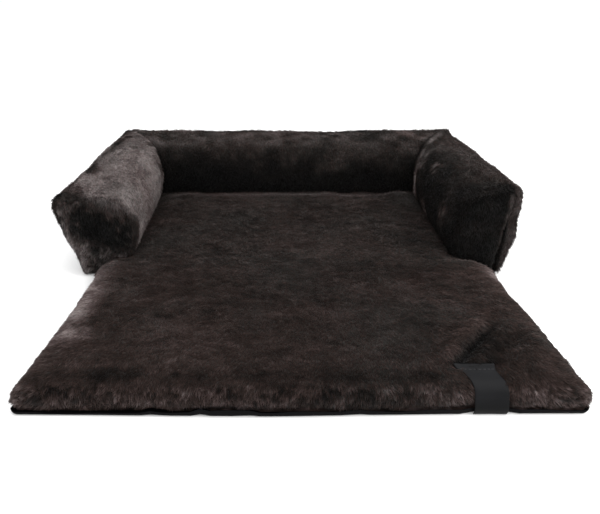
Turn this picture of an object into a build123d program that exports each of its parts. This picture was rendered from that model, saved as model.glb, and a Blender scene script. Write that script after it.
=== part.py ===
"""Dog sofa bed: a flat padded mat with a stuffed bolster along its two sides and its back, all in
plush fur fabric, with a front flap that hangs over the edge of a sofa and a sewn leather strap.

Units are millimetres. X runs across the bed, -Y is the front (the flap), +Z is up. The origin is on
the floor, at the middle of the whole bed's width and depth.

A bolster's cross-section is drawn in two numbers: out, the distance outwards from the edge of the
mat, and up, the height above the floor. Each end, middle and corner of a bolster is one such
section, and the bolster is a loft through them.
"""

import os

from build123d import *

os.makedirs("parts", exist_ok=True)

# The mat, seen from above
mat_width = 900.0
seat_depth = 460.0
flap_length = 386.0
mat_corner_radius = 34.0

# The mat, seen from the side
base_thickness = 2.0
edge_height = 24.0
shoulder_height = 49.0
crown_height = 56.0
shoulder_inset = 102.0
edge_roll = 46.0
base_inset = 5.0

# Fabric and filling
fur_wall = 8.0
filling_clearance = 0.5
seam_gap = 0.3
fold_gap = 0.3

# The bolsters
facet_height = 28.0
facet_overhang = 6.0
bolster_top = 197.0
bolster_outer = 31.0
bolster_inner = 120.0
end_panel_crown = 9.0
end_panel_margin = 2.0
arm_front_inset = 12.0

# The strap
strap_width = 56.0
strap_side_inset = 159.0
strap_reach = 57.0
strap_thickness = 2.4
stitch_length = 4.6
stitch_width = 1.0
stitch_height = 0.7
stitch_pitch = 6.4
stitch_inset = 5.0
stitch_gap = 0.12

# The zips
tape_width = 18.0
tape_thickness = 0.8
tape_slit = 0.6
tape_depth = 5.0
teeth_width = 5.0
teeth_height = 1.8
teeth_pitch = 4.0
teeth_notch = 1.2
teeth_spine = 0.7
stop_length = 3.0
stop_margin = 5.0
slider_length = 15.0
slider_width = 9.6
slider_wall = 1.1
slider_clearance = 0.35
ear_thickness = 1.3
ear_length = 4.4
ear_gap = 4.4
bail_radius = 0.8
pull_clearance = 0.35
pull_eye_radius = 1.9
pull_length = 30.0
pull_width = 8.0
pull_thickness = 1.5
pull_hole_radius = 1.8
arm_zip_length = 300.0
back_zip_length = 620.0
mat_zip_length = 720.0

# A cutting tool runs past what it cuts by this much
overrun = 20.0

# The flap's rounded sides, level by level from the bottom up: how far a level is drawn in, as a share
# of edge_roll, and its height, as a share of the flap's thickness
flap_level_shares = (
    (0.20, 0.00),
    (0.05, 0.14),
    (0.00, 0.32),
    (0.03, 0.50),
    (0.14, 0.68),
    (0.36, 0.82),
    (0.72, 0.91),
    (1.40, 0.96),
    (2.60, 0.99),
    (4.20, 1.00),
)

# Points round a bolster's section: the place across it, as a share from its outermost point (0) to
# its innermost (1), and the height, as a share from the top of the zip facet (0) to the top (1).
# The inner foot has no height share, because it stands on the mat.
outer_bulge_shares = (0.00, 0.60)
outer_top_shares = (0.02, 0.87)
outer_shoulder_shares = (0.05, 0.95)
crown_start_shares = (0.14, 0.985)
crown_middle_shares = (0.44, 1.00)
crown_end_shares = (0.77, 0.945)
inner_shoulder_shares = (0.88, 0.87)
inner_top_shares = (0.95, 0.75)
inner_bulge_shares = (1.00, 0.45)
inner_foot_share = 0.81

# Sections along an arm, from its front rim to where it meets the back: the place along the arm, as a
# share of its length, and then how full the section is, as shares of bolster_inner, bolster_outer and
# bolster_top. The back's sections go the same way from one end to the other, in shares of half the
# mat's width. The corner section ends both.
rim_shares = (0.90, 0.66, 0.965)
arm_section_shares = (
    (0.03, 0.96, 0.86, 0.988),
    (0.08, 0.99, 0.98, 0.998),
    (0.30, 1.00, 1.03, 1.000),
    (0.55, 1.00, 1.00, 1.000),
)
back_section_shares = (
    (-0.66, 1.00, 0.86, 0.990),
    (-0.36, 0.99, 0.98, 0.982),
    (0.00, 0.97, 1.00, 0.972),
    (0.36, 0.99, 0.98, 0.982),
    (0.66, 1.00, 0.86, 0.990),
)
corner_shares = (0.96, 0.46, 1.000)

# Places that follow from the sizes above
overall_depth = flap_length + seat_depth + bolster_outer
front_y = -overall_depth / 2
fold_y = front_y + flap_length
rear_y = fold_y + seat_depth
half_width = mat_width / 2
strap_centre_x = half_width - strap_side_inset
facet_low = edge_height + seam_gap
facet_top = facet_low + facet_height
arm_front_y = fold_y + arm_front_inset


def save(shape, node):
    """Writes one sub-part as parts/NODE.step."""
    shape.label = node
    export_step(shape, f"parts/{node}.step")


def line(a, b):
    return Edge.make_line(a, b)


def arc(a, middle, b):
    return Edge.make_three_point_arc(a, middle, b)


def lofted(outlines):
    """A solid through these outlines, taken in the order that turns its faces outwards."""
    solid = Solid.make_loft(outlines, ruled=True)
    if solid.volume < 0:
        solid = Solid.make_loft(outlines[::-1], ruled=True)
    return solid


def extruded(edges, reach):
    """A prism of the closed flat outline that these edges make, with this reach to both sides."""
    face = Face(Wire(edges))
    return extrude(face, amount=reach, dir=face.normal_at(), both=True)


# The mat


def mat_top_at(out):
    """The height of the mat's top under a bolster: it slopes down to the mat's edge."""
    slope = (shoulder_height - edge_height) / shoulder_inset
    return edge_height - slope * out


def seat_form(inset, bottom, front):
    """The seat part of the mat, as two prisms that cross: one runs front to back, the other across.
    inset draws its sides and its top in."""
    edge_x = half_width - inset
    shoulder_x = half_width - shoulder_inset
    edge_z = edge_height - inset
    shoulder_z = shoulder_height - inset
    crown_z = crown_height - inset
    edge_y = rear_y - inset
    shoulder_y = rear_y - shoulder_inset
    far_y = rear_y + overrun
    middle_y = (front + shoulder_y) / 2

    def across(x, z):
        return (x, far_y, z)

    lengthways = extruded(
        [
            line(across(-edge_x, bottom), across(edge_x, bottom)),
            line(across(edge_x, bottom), across(edge_x, edge_z)),
            line(across(edge_x, edge_z), across(shoulder_x, shoulder_z)),
            arc(across(shoulder_x, shoulder_z), across(0, crown_z), across(-shoulder_x, shoulder_z)),
            line(across(-shoulder_x, shoulder_z), across(-edge_x, edge_z)),
            line(across(-edge_x, edge_z), across(-edge_x, bottom)),
        ],
        far_y - front + overrun,
    )

    def along(y, z):
        return (0, y, z)

    crossways = extruded(
        [
            line(along(front, bottom), along(edge_y, bottom)),
            line(along(edge_y, bottom), along(edge_y, edge_z)),
            line(along(edge_y, edge_z), along(shoulder_y, shoulder_z)),
            arc(along(shoulder_y, shoulder_z), along(middle_y, crown_z), along(front, crown_z)),
            line(along(front, crown_z), along(front, bottom)),
        ],
        half_width + overrun,
    )
    return lengthways & crossways


def flap_form(inset, bottom, rear):
    """The front flap: a loft up through its plan outlines, drawn in at the bottom and the top so
    that its free edges are round. inset draws its sides and its top in."""
    height = crown_height - inset - bottom
    levels = []
    for draw_share, height_share in flap_level_shares:
        outline = flap_outline(inset + draw_share * edge_roll, rear, bottom + height_share * height)
        levels.append(outline)
    return lofted(levels)


def flap_outline(inset, rear, z):
    """The flap's plan outline at one height: straight at the fold, round at its front corners."""
    x = half_width - inset
    y = front_y + inset
    r = mat_corner_radius
    bevel = r * (1 - 0.5**0.5)
    return Wire(
        [
            line((x, rear, z), (-x, rear, z)),
            line((-x, rear, z), (-x, y + r, z)),
            arc((-x, y + r, z), (-x + bevel, y + bevel, z), (-x + r, y, z)),
            line((-x + r, y, z), (x - r, y, z)),
            arc((x - r, y, z), (x - bevel, y + bevel, z), (x, y + r, z)),
            line((x, y + r, z), (x, rear, z)),
        ]
    )


def make_mat():
    """The fur covers of the seat and the flap, their pads and the smooth fabric under them."""
    inner = fur_wall
    pad = fur_wall + filling_clearance
    flap_rear = fold_y - fold_gap

    seat_cover = seat_form(0, base_thickness, fold_y)
    seat_cover -= seat_form(inner, 0, fold_y - overrun)
    seat_cover -= zip_slot(mat_zip_place(), mat_zip_length)
    save(seat_cover, "seat_fur_cover")

    flap_cover = flap_form(0, base_thickness, flap_rear)
    flap_cover -= flap_form(inner, base_thickness, fold_y + overrun)
    save(flap_cover, "flap_fur_cover")

    pad_bottom = base_thickness + filling_clearance
    save(seat_form(pad, pad_bottom, fold_y), "seat_pad")
    save(flap_form(pad, pad_bottom, flap_rear), "flap_pad")

    seat_base_depth = seat_depth - base_inset
    seat_base = Box(2 * (half_width - base_inset), seat_base_depth, base_thickness)
    seat_base = Pos(0, fold_y + seat_base_depth / 2, base_thickness / 2) * seat_base
    save(seat_base, "seat_base_fabric")
    lip = flap_level_shares[0][0] * edge_roll
    flap_base = extrude(Face(flap_outline(lip, flap_rear, 0)), amount=base_thickness, dir=(0, 0, 1))
    save(flap_base, "flap_base_fabric")


# The bolsters


def section_points(fullness, wall):
    """The points of a bolster's cross-section, each as (out, up). wall draws them in."""
    inner = bolster_inner * fullness[0]
    outer = bolster_outer * fullness[1]
    top = bolster_top * fullness[2]
    width = inner + outer

    def at(shares):
        return (outer - shares[0] * width, facet_top + shares[1] * (top - facet_top))

    foot_out = outer - inner_foot_share * width
    points = {
        "low": (facet_overhang, facet_low),
        "facet": (facet_overhang, facet_top),
        "outer_bulge": at(outer_bulge_shares),
        "outer_top": at(outer_top_shares),
        "outer_shoulder": at(outer_shoulder_shares),
        "crown_start": at(crown_start_shares),
        "crown_middle": at(crown_middle_shares),
        "crown_end": at(crown_end_shares),
        "inner_shoulder": at(inner_shoulder_shares),
        "inner_top": at(inner_top_shares),
        "inner_bulge": at(inner_bulge_shares),
        "foot": (foot_out, mat_top_at(foot_out) + seam_gap),
    }
    if not wall:
        return points
    middle_out = outer - width / 2
    middle_up = (facet_low + top) / 2
    shrink_out = (width - 2 * wall) / width
    shrink_up = (top - facet_low - 2 * wall) / (top - facet_low)
    return {
        name: (
            middle_out + (out - middle_out) * shrink_out,
            middle_up + (up - middle_up) * shrink_up,
        )
        for name, (out, up) in points.items()
    }


def section_wire(fullness, wall, place):
    """The closed outline of a cross-section: lines below, where it stands on the mat and carries
    its zip, and arcs round the rest. place turns (out, up) into a point of the bed."""
    p = {name: place(*q) for name, q in section_points(fullness, wall).items()}
    return Wire(
        [
            line(p["foot"], p["low"]),
            line(p["low"], p["facet"]),
            arc(p["facet"], p["outer_bulge"], p["outer_top"]),
            arc(p["outer_top"], p["outer_shoulder"], p["crown_start"]),
            arc(p["crown_start"], p["crown_middle"], p["crown_end"]),
            arc(p["crown_end"], p["inner_shoulder"], p["inner_top"]),
            arc(p["inner_top"], p["inner_bulge"], p["foot"]),
        ]
    )


def arm_place(side, y):
    """A section square across an arm, at y. side is -1 for the left arm and 1 for the right."""
    return lambda out, up: (side * (half_width + out), y, up)


def corner_place(side, arm_shift=0, back_shift=0):
    """A section in the slanting plane where an arm meets the back, moved along the arm or back."""
    return lambda out, up: (
        side * (half_width + out - back_shift),
        rear_y + out - arm_shift,
        up,
    )


def back_place(x):
    """A section square across the back bolster, at x."""
    return lambda out, up: (x, rear_y + out, up)


def arm_form(side, wall, end_gap):
    """An arm bolster, lofted from its front rim to the slanting plane at its rear."""
    outlines = [section_wire(rim_shares, wall, arm_place(side, arm_front_y))]
    for along_share, *fullness in arm_section_shares:
        y = arm_front_y + along_share * (rear_y - arm_front_y)
        outlines.append(section_wire(fullness, wall, arm_place(side, y)))
    outlines.append(section_wire(corner_shares, wall, corner_place(side, arm_shift=end_gap)))
    return lofted(outlines)


def arm_mouth(side, wall):
    """What opens an arm's cover at its front rim, where the end panel closes it."""
    rim = Face(section_wire(rim_shares, wall, arm_place(side, arm_front_y)))
    return extrude(rim, amount=overrun, dir=(0, -1, 0))


def back_form(wall, end_gap):
    """The back bolster, lofted between the slanting planes at its two ends."""
    outlines = [section_wire(corner_shares, wall, corner_place(-1, back_shift=end_gap))]
    for across_share, *fullness in back_section_shares:
        outlines.append(section_wire(fullness, wall, back_place(across_share * half_width)))
    outlines.append(section_wire(corner_shares, wall, corner_place(1, back_shift=end_gap)))
    return lofted(outlines)


def end_panel(side):
    """The crowned fur panel that closes an arm's front end."""
    crown_y = arm_front_y - end_panel_crown
    return lofted(
        [
            section_wire(rim_shares, end_panel_margin, arm_place(side, arm_front_y - seam_gap)),
            section_wire(rim_shares, end_panel_crown, arm_place(side, crown_y)),
        ]
    )


def make_bolsters():
    """Covers, end panels and stuffed cushions of the two arms and the back."""
    slant = 2**0.5
    inner_end = fur_wall * slant
    cushion_wall = fur_wall + filling_clearance
    cushion_end = cushion_wall * slant
    half_seam = seam_gap / 2
    for side, name in ((-1, "left"), (1, "right")):
        cover = arm_form(side, 0, half_seam)
        cover -= arm_form(side, fur_wall, inner_end)
        cover -= arm_mouth(side, fur_wall)
        cover -= zip_slot(arm_zip_place(side), arm_zip_length)
        save(cover, f"{name}_arm_fur_cover")
        save(end_panel(side), f"{name}_arm_end_panel")
        save(arm_form(side, cushion_wall, cushion_end), f"{name}_arm_cushion")
    cover = back_form(0, half_seam)
    cover -= back_form(fur_wall, inner_end)
    cover -= zip_slot(back_zip_place(), back_zip_length)
    save(cover, "back_fur_cover")
    save(back_form(cushion_wall, cushion_end), "back_cushion")


# The zips, each built on a plane whose X runs along the zip, Y across it and Z out of the cover


def arm_zip_place(side):
    """A zip runs along the facet on the outer side of an arm."""
    x = side * (half_width + facet_overhang)
    centre = (x, (arm_front_y + rear_y) / 2, (facet_low + facet_top) / 2)
    return Plane(origin=centre, x_dir=(0, 1, 0), z_dir=(side, 0, 0))


def back_zip_place():
    centre = (0, rear_y + facet_overhang, (facet_low + facet_top) / 2)
    return Plane(origin=centre, x_dir=(-1, 0, 0), z_dir=(0, 1, 0))


def mat_zip_place():
    centre = (0, rear_y, (base_thickness + edge_height) / 2)
    return Plane(origin=centre, x_dir=(-1, 0, 0), z_dir=(0, 1, 0))


def zip_slot(place, length):
    """The slit in a cover that its zip closes."""
    return place * Box(length, tape_width, 2 * (fur_wall + filling_clearance))


def upright(width, depth, low, high):
    """A block centred on the zip's line, from low to high above the cover's surface."""
    return Pos(0, 0, (low + high) / 2) * Box(width, depth, high - low)


def make_zip(place, length, name):
    """Two tapes, a row of closed teeth, its end stops, a slider that rides on it, and a pull."""
    tape_low = -tape_depth
    tape_high = tape_low + tape_thickness
    teeth_high = tape_high + teeth_height

    half_tape = (tape_width - tape_slit) / 2
    tapes = [
        Pos(0, across * (tape_slit + half_tape) / 2, 0)
        * upright(length, half_tape, tape_low, tape_high)
        for across in (-1, 1)
    ]
    save(place * Compound(children=tapes), f"{name}_zip_tape")

    teeth_length = length - 2 * (stop_margin + stop_length)
    teeth = upright(teeth_length, teeth_width, tape_high, teeth_high)
    count = int(teeth_length / teeth_pitch)
    notch = upright(teeth_notch, teeth_width + overrun, tape_high + teeth_spine, teeth_high + overrun)
    first = -(count - 1) * teeth_pitch / 2
    notches = [Pos(first + i * teeth_pitch, 0, 0) * notch for i in range(count)]
    save(place * (teeth - notches), f"{name}_zip_teeth")

    stop_x = (teeth_length + stop_length) / 2
    stops = [
        Pos(end * stop_x, 0, 0) * upright(stop_length, teeth_width, tape_high, teeth_high)
        for end in (-1, 1)
    ]
    save(place * Compound(children=stops), f"{name}_zip_stops")

    slider_x = teeth_length / 2 - slider_length / 2
    save(place * (Pos(slider_x, 0, 0) * slider(tape_high, teeth_high)), f"{name}_zip_slider")
    save(place * (Pos(slider_x, 0, 0) * pull(teeth_high)), f"{name}_zip_pull")


def slider_top(teeth_high):
    return teeth_high + slider_clearance + slider_wall


def bail_height(teeth_high):
    """The height of the bail's axis, which leaves room for the pull's eye over the slider."""
    return slider_top(teeth_high) + pull_eye_radius + pull_clearance


def slider(tape_high, teeth_high):
    """A saddle over the teeth with two ears that hold a round bail across the zip."""
    low = tape_high + slider_clearance
    top = slider_top(teeth_high)
    body = upright(slider_length, slider_width, low, top)
    body = fillet(body.edges().filter_by(Axis.Z), slider_wall)
    groove_width = teeth_width + 2 * slider_clearance
    body -= upright(slider_length + overrun, groove_width, low - overrun, top - slider_wall)
    ear_across = (ear_gap + ear_thickness) / 2
    bail_z = bail_height(teeth_high)
    for across in (-1, 1):
        ear = upright(ear_length, ear_thickness, top, bail_z + ear_length / 2)
        body += Pos(0, across * ear_across, 0) * ear
    bail = Pos(0, 0, bail_z) * Rot(90, 0, 0) * Cylinder(bail_radius, ear_gap + ear_thickness)
    return body + bail


def pull(teeth_high):
    """A flat tab with an eye round the slider's bail, lying along the zip towards its middle."""
    eye_width = ear_gap - 2 * pull_clearance
    eye = Rot(90, 0, 0) * Cylinder(pull_eye_radius, eye_width)
    neck_length = ear_length + 2 * pull_clearance
    neck = Pos(-neck_length / 2, 0, 0) * Box(neck_length, eye_width, pull_thickness)
    tab = Box(pull_length, pull_width, pull_thickness)
    tab = fillet(tab.edges().filter_by(Axis.Z), pull_width / 4)
    tab = Pos(pull_clearance - neck_length - pull_length / 2, 0, 0) * tab
    hole_x = 2 * pull_hole_radius - neck_length - pull_length
    hole = Pos(hole_x, 0, 0) * Cylinder(pull_hole_radius, pull_thickness + overrun)
    shape = eye + neck + tab - hole
    shape -= Rot(90, 0, 0) * Cylinder(bail_radius + pull_clearance, eye_width + overrun)
    return Pos(0, 0, bail_height(teeth_high)) * shape


def make_zips():
    make_zip(arm_zip_place(-1), arm_zip_length, "left_arm")
    make_zip(arm_zip_place(1), arm_zip_length, "right_arm")
    make_zip(back_zip_place(), back_zip_length, "back")
    make_zip(mat_zip_place(), mat_zip_length, "mat")


# The strap


def make_strap():
    """A leather band over the flap's front edge, a seam gap off the fur, and the row of thread
    stitches that holds its upper end."""
    flap_rear = fold_y - fold_gap
    band = flap_form(-seam_gap - strap_thickness, base_thickness, flap_rear)
    band -= flap_form(-seam_gap, base_thickness, flap_rear)
    depth = strap_reach + overrun
    height = crown_height + 2 * overrun
    keep = Box(strap_width, depth, height)
    keep = Pos(strap_centre_x, front_y + strap_reach - depth / 2, base_thickness + height / 2) * keep
    band = band & keep
    save(band, "strap")

    stitch_y = front_y + strap_reach - stitch_inset
    count = int((strap_width - 2 * stitch_inset) / stitch_pitch) + 1
    first_x = strap_centre_x - (count - 1) * stitch_pitch / 2
    stitch_z = strap_top_at(band, stitch_y) + stitch_gap
    stitch = Box(stitch_length, stitch_width, stitch_height)
    stitches = [
        Pos(first_x + i * stitch_pitch, stitch_y, stitch_z + stitch_height / 2) * stitch
        for i in range(count)
    ]
    save(Compound(children=stitches), "strap_stitches")


def strap_top_at(band, y):
    """The height of the strap's upper face at y, read where a thin upright slice cuts it."""
    slice_height = crown_height + 2 * overrun
    probe = Pos(strap_centre_x, y, slice_height / 2) * Box(stitch_width, stitch_width, slice_height)
    return (band & probe).bounding_box().max.Z


make_mat()
make_bolsters()
make_zips()
make_strap()
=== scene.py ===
import math

import bpy
import numpy as np
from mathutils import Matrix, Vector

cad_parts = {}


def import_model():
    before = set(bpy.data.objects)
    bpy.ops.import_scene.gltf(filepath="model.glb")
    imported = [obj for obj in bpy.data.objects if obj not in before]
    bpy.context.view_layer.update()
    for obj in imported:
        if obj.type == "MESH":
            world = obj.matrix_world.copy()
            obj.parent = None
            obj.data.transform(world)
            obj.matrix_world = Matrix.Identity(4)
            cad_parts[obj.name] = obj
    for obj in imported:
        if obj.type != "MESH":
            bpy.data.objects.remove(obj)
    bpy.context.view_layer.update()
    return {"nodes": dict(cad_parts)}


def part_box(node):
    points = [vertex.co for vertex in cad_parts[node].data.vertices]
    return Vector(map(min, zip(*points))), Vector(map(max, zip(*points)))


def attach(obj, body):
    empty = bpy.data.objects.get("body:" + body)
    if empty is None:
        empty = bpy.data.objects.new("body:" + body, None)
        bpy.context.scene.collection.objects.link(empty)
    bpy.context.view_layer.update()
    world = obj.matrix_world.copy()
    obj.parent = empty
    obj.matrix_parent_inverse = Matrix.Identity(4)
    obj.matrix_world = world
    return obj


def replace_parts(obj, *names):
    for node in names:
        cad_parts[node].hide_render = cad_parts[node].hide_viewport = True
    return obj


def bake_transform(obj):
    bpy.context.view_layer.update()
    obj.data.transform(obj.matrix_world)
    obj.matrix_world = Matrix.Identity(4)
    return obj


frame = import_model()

# Dog sofa bed, dressed for its picture. Shapes are worked out in millimetres, in the frame's axes:
# X across, -Y the front flap, Z up. A bolster's section is drawn in two numbers, out (from the mat's
# edge outwards) and up (from the floor).

MM = 0.001

# Places in the CAD part: half the mat's width, its rear edge, the flap's fold, and where the bend
# across the fold starts and ends
HALF_WIDTH = 450.0
REAR_Y = 407.5
FOLD_Y = -52.5

# The mat: its edges, the width of its rolled edge, its corners' radius, and half of its plan across
# and down with the roll laid out flat
MAT_SIDE = 449.0
MAT_FRONT = -440.0
MAT_REAR = 406.5
MAT_ROLL = 32.0
MAT_CORNER = 13.0
PLAN_X = MAT_SIDE + MAT_ROLL
PLAN_Y = (MAT_REAR - MAT_FRONT) / 2 + MAT_ROLL

# The bolsters: the arms' front, the middle of the section, the section itself, from the foot's outer
# side up, over the top and down the inner side, and how far inside the skin the filling ends
ARM_FRONT = -42.0
MIDDLE = -34.0
SECTION_POINTS = (
    (5.5, 27), (5.5, 39), (6.5, 53), (15, 72), (21, 97), (24, 138), (27, 178), (17, 194), (-32, 196),
    (-78, 189), (-101, 172), (-113, 145), (-117, 112), (-109, 77), (-92, 45), (-60, 35), (-28, 28.5),
)
FILLING_INSET = 6.0

# The strap, across: its centre on the roll, how far its upper end is off that, its width, and how far
# back from the mat's front it reaches
STRAP_X = 294.0
STRAP_SKEW = -10.0
STRAP_WIDTH = 56.0
STRAP_REACH = 50.0

# The fur: the strips along the zips where none grows, from how far out, up to what height, and from
# where to where on an arm and on the back; and the height that no lock reaches past
STRIP_OUT = -5
STRIP_UP = 56
ARM_STRIP = (4, 346)
BACK_STRIP = (-324, 340)
HIGHEST = 212.2

random = np.random.default_rng(41)
fur_share = 1.0


# Numbers


def ease(x, low, high):
    """A smooth step: t is how far x has come from low to high, and the result is 3t² less 2t³."""
    t = np.clip((x - low) / (high - low), 0, 1)
    return t * t * (3 - 2 * t)


def hump(x, centre, reach):
    """A bell: e to the power of minus the square of the distance from the centre over the reach."""
    return np.exp(-(((x - centre) / reach) ** 2))


def unit(vectors):
    """Each vector over its own length."""
    return vectors / np.maximum(np.linalg.norm(vectors, axis=-1, keepdims=True), 1e-9)


def cloudy(points, size, seed):
    """Value noise from -1 to 1: the eight corners of a point's cell, size wide, have random numbers
    that a hash of their places gives, and the point takes their smooth blend."""
    place = points / np.asarray(size, float) + 1000.0
    cell = np.floor(place).astype(np.int64)
    f = place - cell
    f = f * f * (3 - 2 * f)
    total = np.zeros(points.shape[:-1])
    for corner in np.ndindex(2, 2, 2):
        at = cell + corner
        key = at[..., 0] * 374761393 + at[..., 1] * 668265263 + at[..., 2] * 1274126177 + seed * 974711
        key = (key ^ (key >> 13)) * 1103515245 & 0xFFFFFFFF
        key = (key ^ (key >> 15)) * 69069 & 0xFFFFFFFF
        weight = np.prod(np.where(np.array(corner) == 1, f, 1 - f), axis=-1)
        total += weight * ((key ^ (key >> 16)) / 2147483648.0 - 1)
    return total


def rough(points, size, seed, layers=3):
    """Noise on noise: each layer is half as large and half as strong as the one before."""
    size = np.asarray(size, float)
    total = sum(cloudy(points, size / 2**i, seed + i) / 2**i for i in range(layers))
    return total / (2 - 2.0 ** (1 - layers))


def spline(points, count, closed=False):
    """A smooth curve through the points, spaced evenly. Between b and c, with a before and d after,
    it is half of 2b + (c-a)t + (2a-5b+4c-d)t² + (3b-a-3c+d)t³."""
    p = np.asarray(points, float)
    p = np.vstack([p[-1], p, p[0], p[1]]) if closed else np.vstack([2 * p[0] - p[1], p, 2 * p[-1] - p[-2]])
    a, b, c, d = (p[i:len(p) - 3 + i, None] for i in range(4))
    t = np.linspace(0, 1, 24, endpoint=False)[None, :, None]
    curve = (2 * b + (c - a) * t + (2 * a - 5 * b + 4 * c - d) * t**2 + (3 * b - a - 3 * c + d) * t**3) / 2
    curve = np.vstack([curve.reshape(-1, p.shape[1]), p[-2]])
    run = np.append(0, np.cumsum(np.linalg.norm(np.diff(curve, axis=0), axis=1)))
    at = np.linspace(0, run[-1], count, endpoint=not closed)
    return np.stack([np.interp(at, run, column) for column in curve.T], axis=1)


def along(table, at, column):
    """A table's column, read between its rows in a straight line, where its first column is at."""
    rows = np.asarray(table, float)
    return np.interp(at, rows[:, 0], rows[:, column])


def toward(value, other, share):
    """The value, moved by a share of the way to the other one."""
    return value + (other - value) * share


def on_floor(x, y):
    """Points at height 0."""
    return np.stack([x, y, np.zeros_like(x)], axis=-1)


def bumps(x, y, table):
    """A sum of bells. Each row of the table is a bell's place, its reaches along x and y, and its
    height."""
    return sum(height * hump(x, at_x, reach_x) * hump(y, at_y, reach_y)
               for at_x, at_y, reach_x, reach_y, height in table)


def rounded_section(count, across_power, up_power):
    """A flat rounded section, as its places across and up from -1 to 1: the cosine and the sine of a full
    turn, each raised to a power below 1 with its sign kept."""
    turn = np.linspace(0, 2 * math.pi, count, endpoint=False)
    across, up = np.cos(turn), np.sin(turn)
    return np.sign(across) * np.abs(across) ** across_power, np.sign(up) * np.abs(up) ** up_power


# Meshes


def mesh_from(name, points, quads=(), triangles=()):
    """A mesh of those points in millimetres, turned right way out if its volume comes out below zero:
    the sum, over its triangles, of a·(b×c)/6."""
    faces = [np.asarray(f, np.int32) for f in (quads, triangles) if len(f)]
    thirds = np.vstack([f[:, [0, i, i + 1]] for f in faces for i in range(1, f.shape[1] - 1)])
    a, b, c = (points[thirds[:, i]] for i in range(3))
    if np.einsum("ij,ij->", a, np.cross(b, c)) < 0:
        faces = [f[:, ::-1] for f in faces]
    loops = np.concatenate([f.ravel() for f in faces])
    sizes = np.concatenate([np.full(len(f), f.shape[1]) for f in faces])
    mesh = bpy.data.meshes.new(name)
    mesh.vertices.add(len(points))
    mesh.vertices.foreach_set("co", (points * MM).astype(np.float32).ravel())
    mesh.loops.add(len(loops))
    mesh.loops.foreach_set("vertex_index", loops.astype(np.int32))
    mesh.polygons.add(len(sizes))
    mesh.polygons.foreach_set("loop_start", (np.cumsum(sizes) - sizes).astype(np.int32))
    mesh.polygons.foreach_set("use_smooth", np.ones(len(sizes), bool))
    mesh.update(calc_edges=True)
    mesh.validate()
    obj = bpy.data.objects.new(name, mesh)
    bpy.context.scene.collection.objects.link(obj)
    return obj


def points_of(obj):
    """A mesh's points and the normals at them, in millimetres, as two tables of three columns."""
    count = len(obj.data.vertices)
    places = np.empty(count * 3, np.float32)
    normals = np.empty(count * 3, np.float32)
    obj.data.vertices.foreach_get("co", places)
    obj.data.vertices.foreach_get("normal", normals)
    return places.reshape(-1, 3) / MM, normals.reshape(-1, 3)


def tubes(name, grids):
    """Closed skins in one mesh. Each row of a grid is a ring, joined to the next, and fans of triangles
    to the middles of the first and the last ring close the ends."""
    count, rows, columns = grids.shape[:3]
    size = rows * columns
    index = np.arange(size).reshape(rows, columns)
    after = np.roll(index, -1, axis=1)
    quads = np.stack([index[:-1], after[:-1], after[1:], index[1:]], axis=-1).reshape(-1, 4)
    fans = np.vstack([
        np.stack([after[0], index[0], np.full(columns, size)], axis=-1),
        np.stack([index[-1], after[-1], np.full(columns, size + 1)], axis=-1),
    ])
    points = np.concatenate([grids.reshape(count, size, 3), grids[:, [0, -1]].mean(axis=2)], axis=1)
    first = np.arange(count)[:, None, None] * (size + 2)
    quads, fans = (quads + first).reshape(-1, 4), (fans + first).reshape(-1, 3)
    return mesh_from(name, points.reshape(-1, 3), quads, fans)


def slab(name, upper, lower):
    """A closed skin from two grids of one shape, an upper and a lower, joined along their border."""
    rows, columns = upper.shape[:2]
    top = np.arange(rows * columns).reshape(rows, columns)
    border = np.zeros((rows, columns), bool)
    border[0] = border[-1] = True
    border[:, 0] = border[:, -1] = True
    bottom = np.where(border, top, rows * columns + np.cumsum(~border).reshape(rows, columns) - 1)

    def cells(index):
        """A four-sided face for each cell between four neighbours of the grid."""
        corners = [index[:-1, :-1], index[1:, :-1], index[1:, 1:], index[:-1, 1:]]
        return np.stack(corners, axis=-1).reshape(-1, 4)

    points = np.vstack([upper.reshape(-1, 3), lower[~border]])
    return mesh_from(name, points, np.vstack([cells(top), cells(bottom)[:, [0, 3, 2, 1]]]))


def ring_normals(grid):
    """The outward normal at each point of a grid of rings: the step along the rows crossed with the step
    round the ring, turned to point away from the ring's middle."""
    ahead = np.gradient(grid, axis=0)
    around = np.roll(grid, -1, axis=1) - np.roll(grid, 1, axis=1)
    normal = unit(np.cross(ahead, around))
    away = grid - grid.mean(axis=1, keepdims=True)
    return normal * np.where(np.sum(normal * away, axis=(1, 2), keepdims=True) < 0, -1, 1)


# The mat's form

# The edge's profile on the flap and on the seat: how deep a place is on the plan, how far in from the
# edge it ends up, and how high
FLAP_EDGE = spline(
    [(0, 5, 4), (8, 2, 10), (16, 0.5, 18), (24, 1.5, 26), (32, 5, 33.5), (42, 12, 40.5), (56, 24, 46),
     (74, 42, 50), (100, 68, 53), (150, 118, 55), (220, 188, 56)], 160)
SEAT_EDGE = spline(
    [(0, 5, 3), (8, 1.2, 8), (16, 0.6, 16), (24, 2, 22.5), (32, 8, 25.5), (56, 30, 31), (100, 70, 41),
     (125, 93, 46.5), (150, 118, 51), (220, 188, 56)], 160)

# How far the flap's sides stand from the middle, from the front to the rear: y, left, right
SIDES = (
    (-441, 451, 451), (-425, 448, 450), (-398, 442, 447), (-361, 438, 447), (-321, 433, 445),
    (-277, 427, 442), (-229, 421, 440), (-176, 417, 433), (-118, 415, 428), (-80, 423, 436),
    (-50, 436, 439), (-20, 438, 438), (20, 438, 438), (45, 449, 449),
)
# The crease that runs from the strap to the rear right
CREASE = np.array([(250.0, -385.0), (364.0, -272.0)])
# Where the bolsters push the fabric up: x, y, its reaches and how high
PUSHED_UP = ((312, 272, 45, 40, 7), (-10, 282, 90, 45, 4), (-372, -78, 34, 30, 5), (392, -80, 30, 24, 3))


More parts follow.
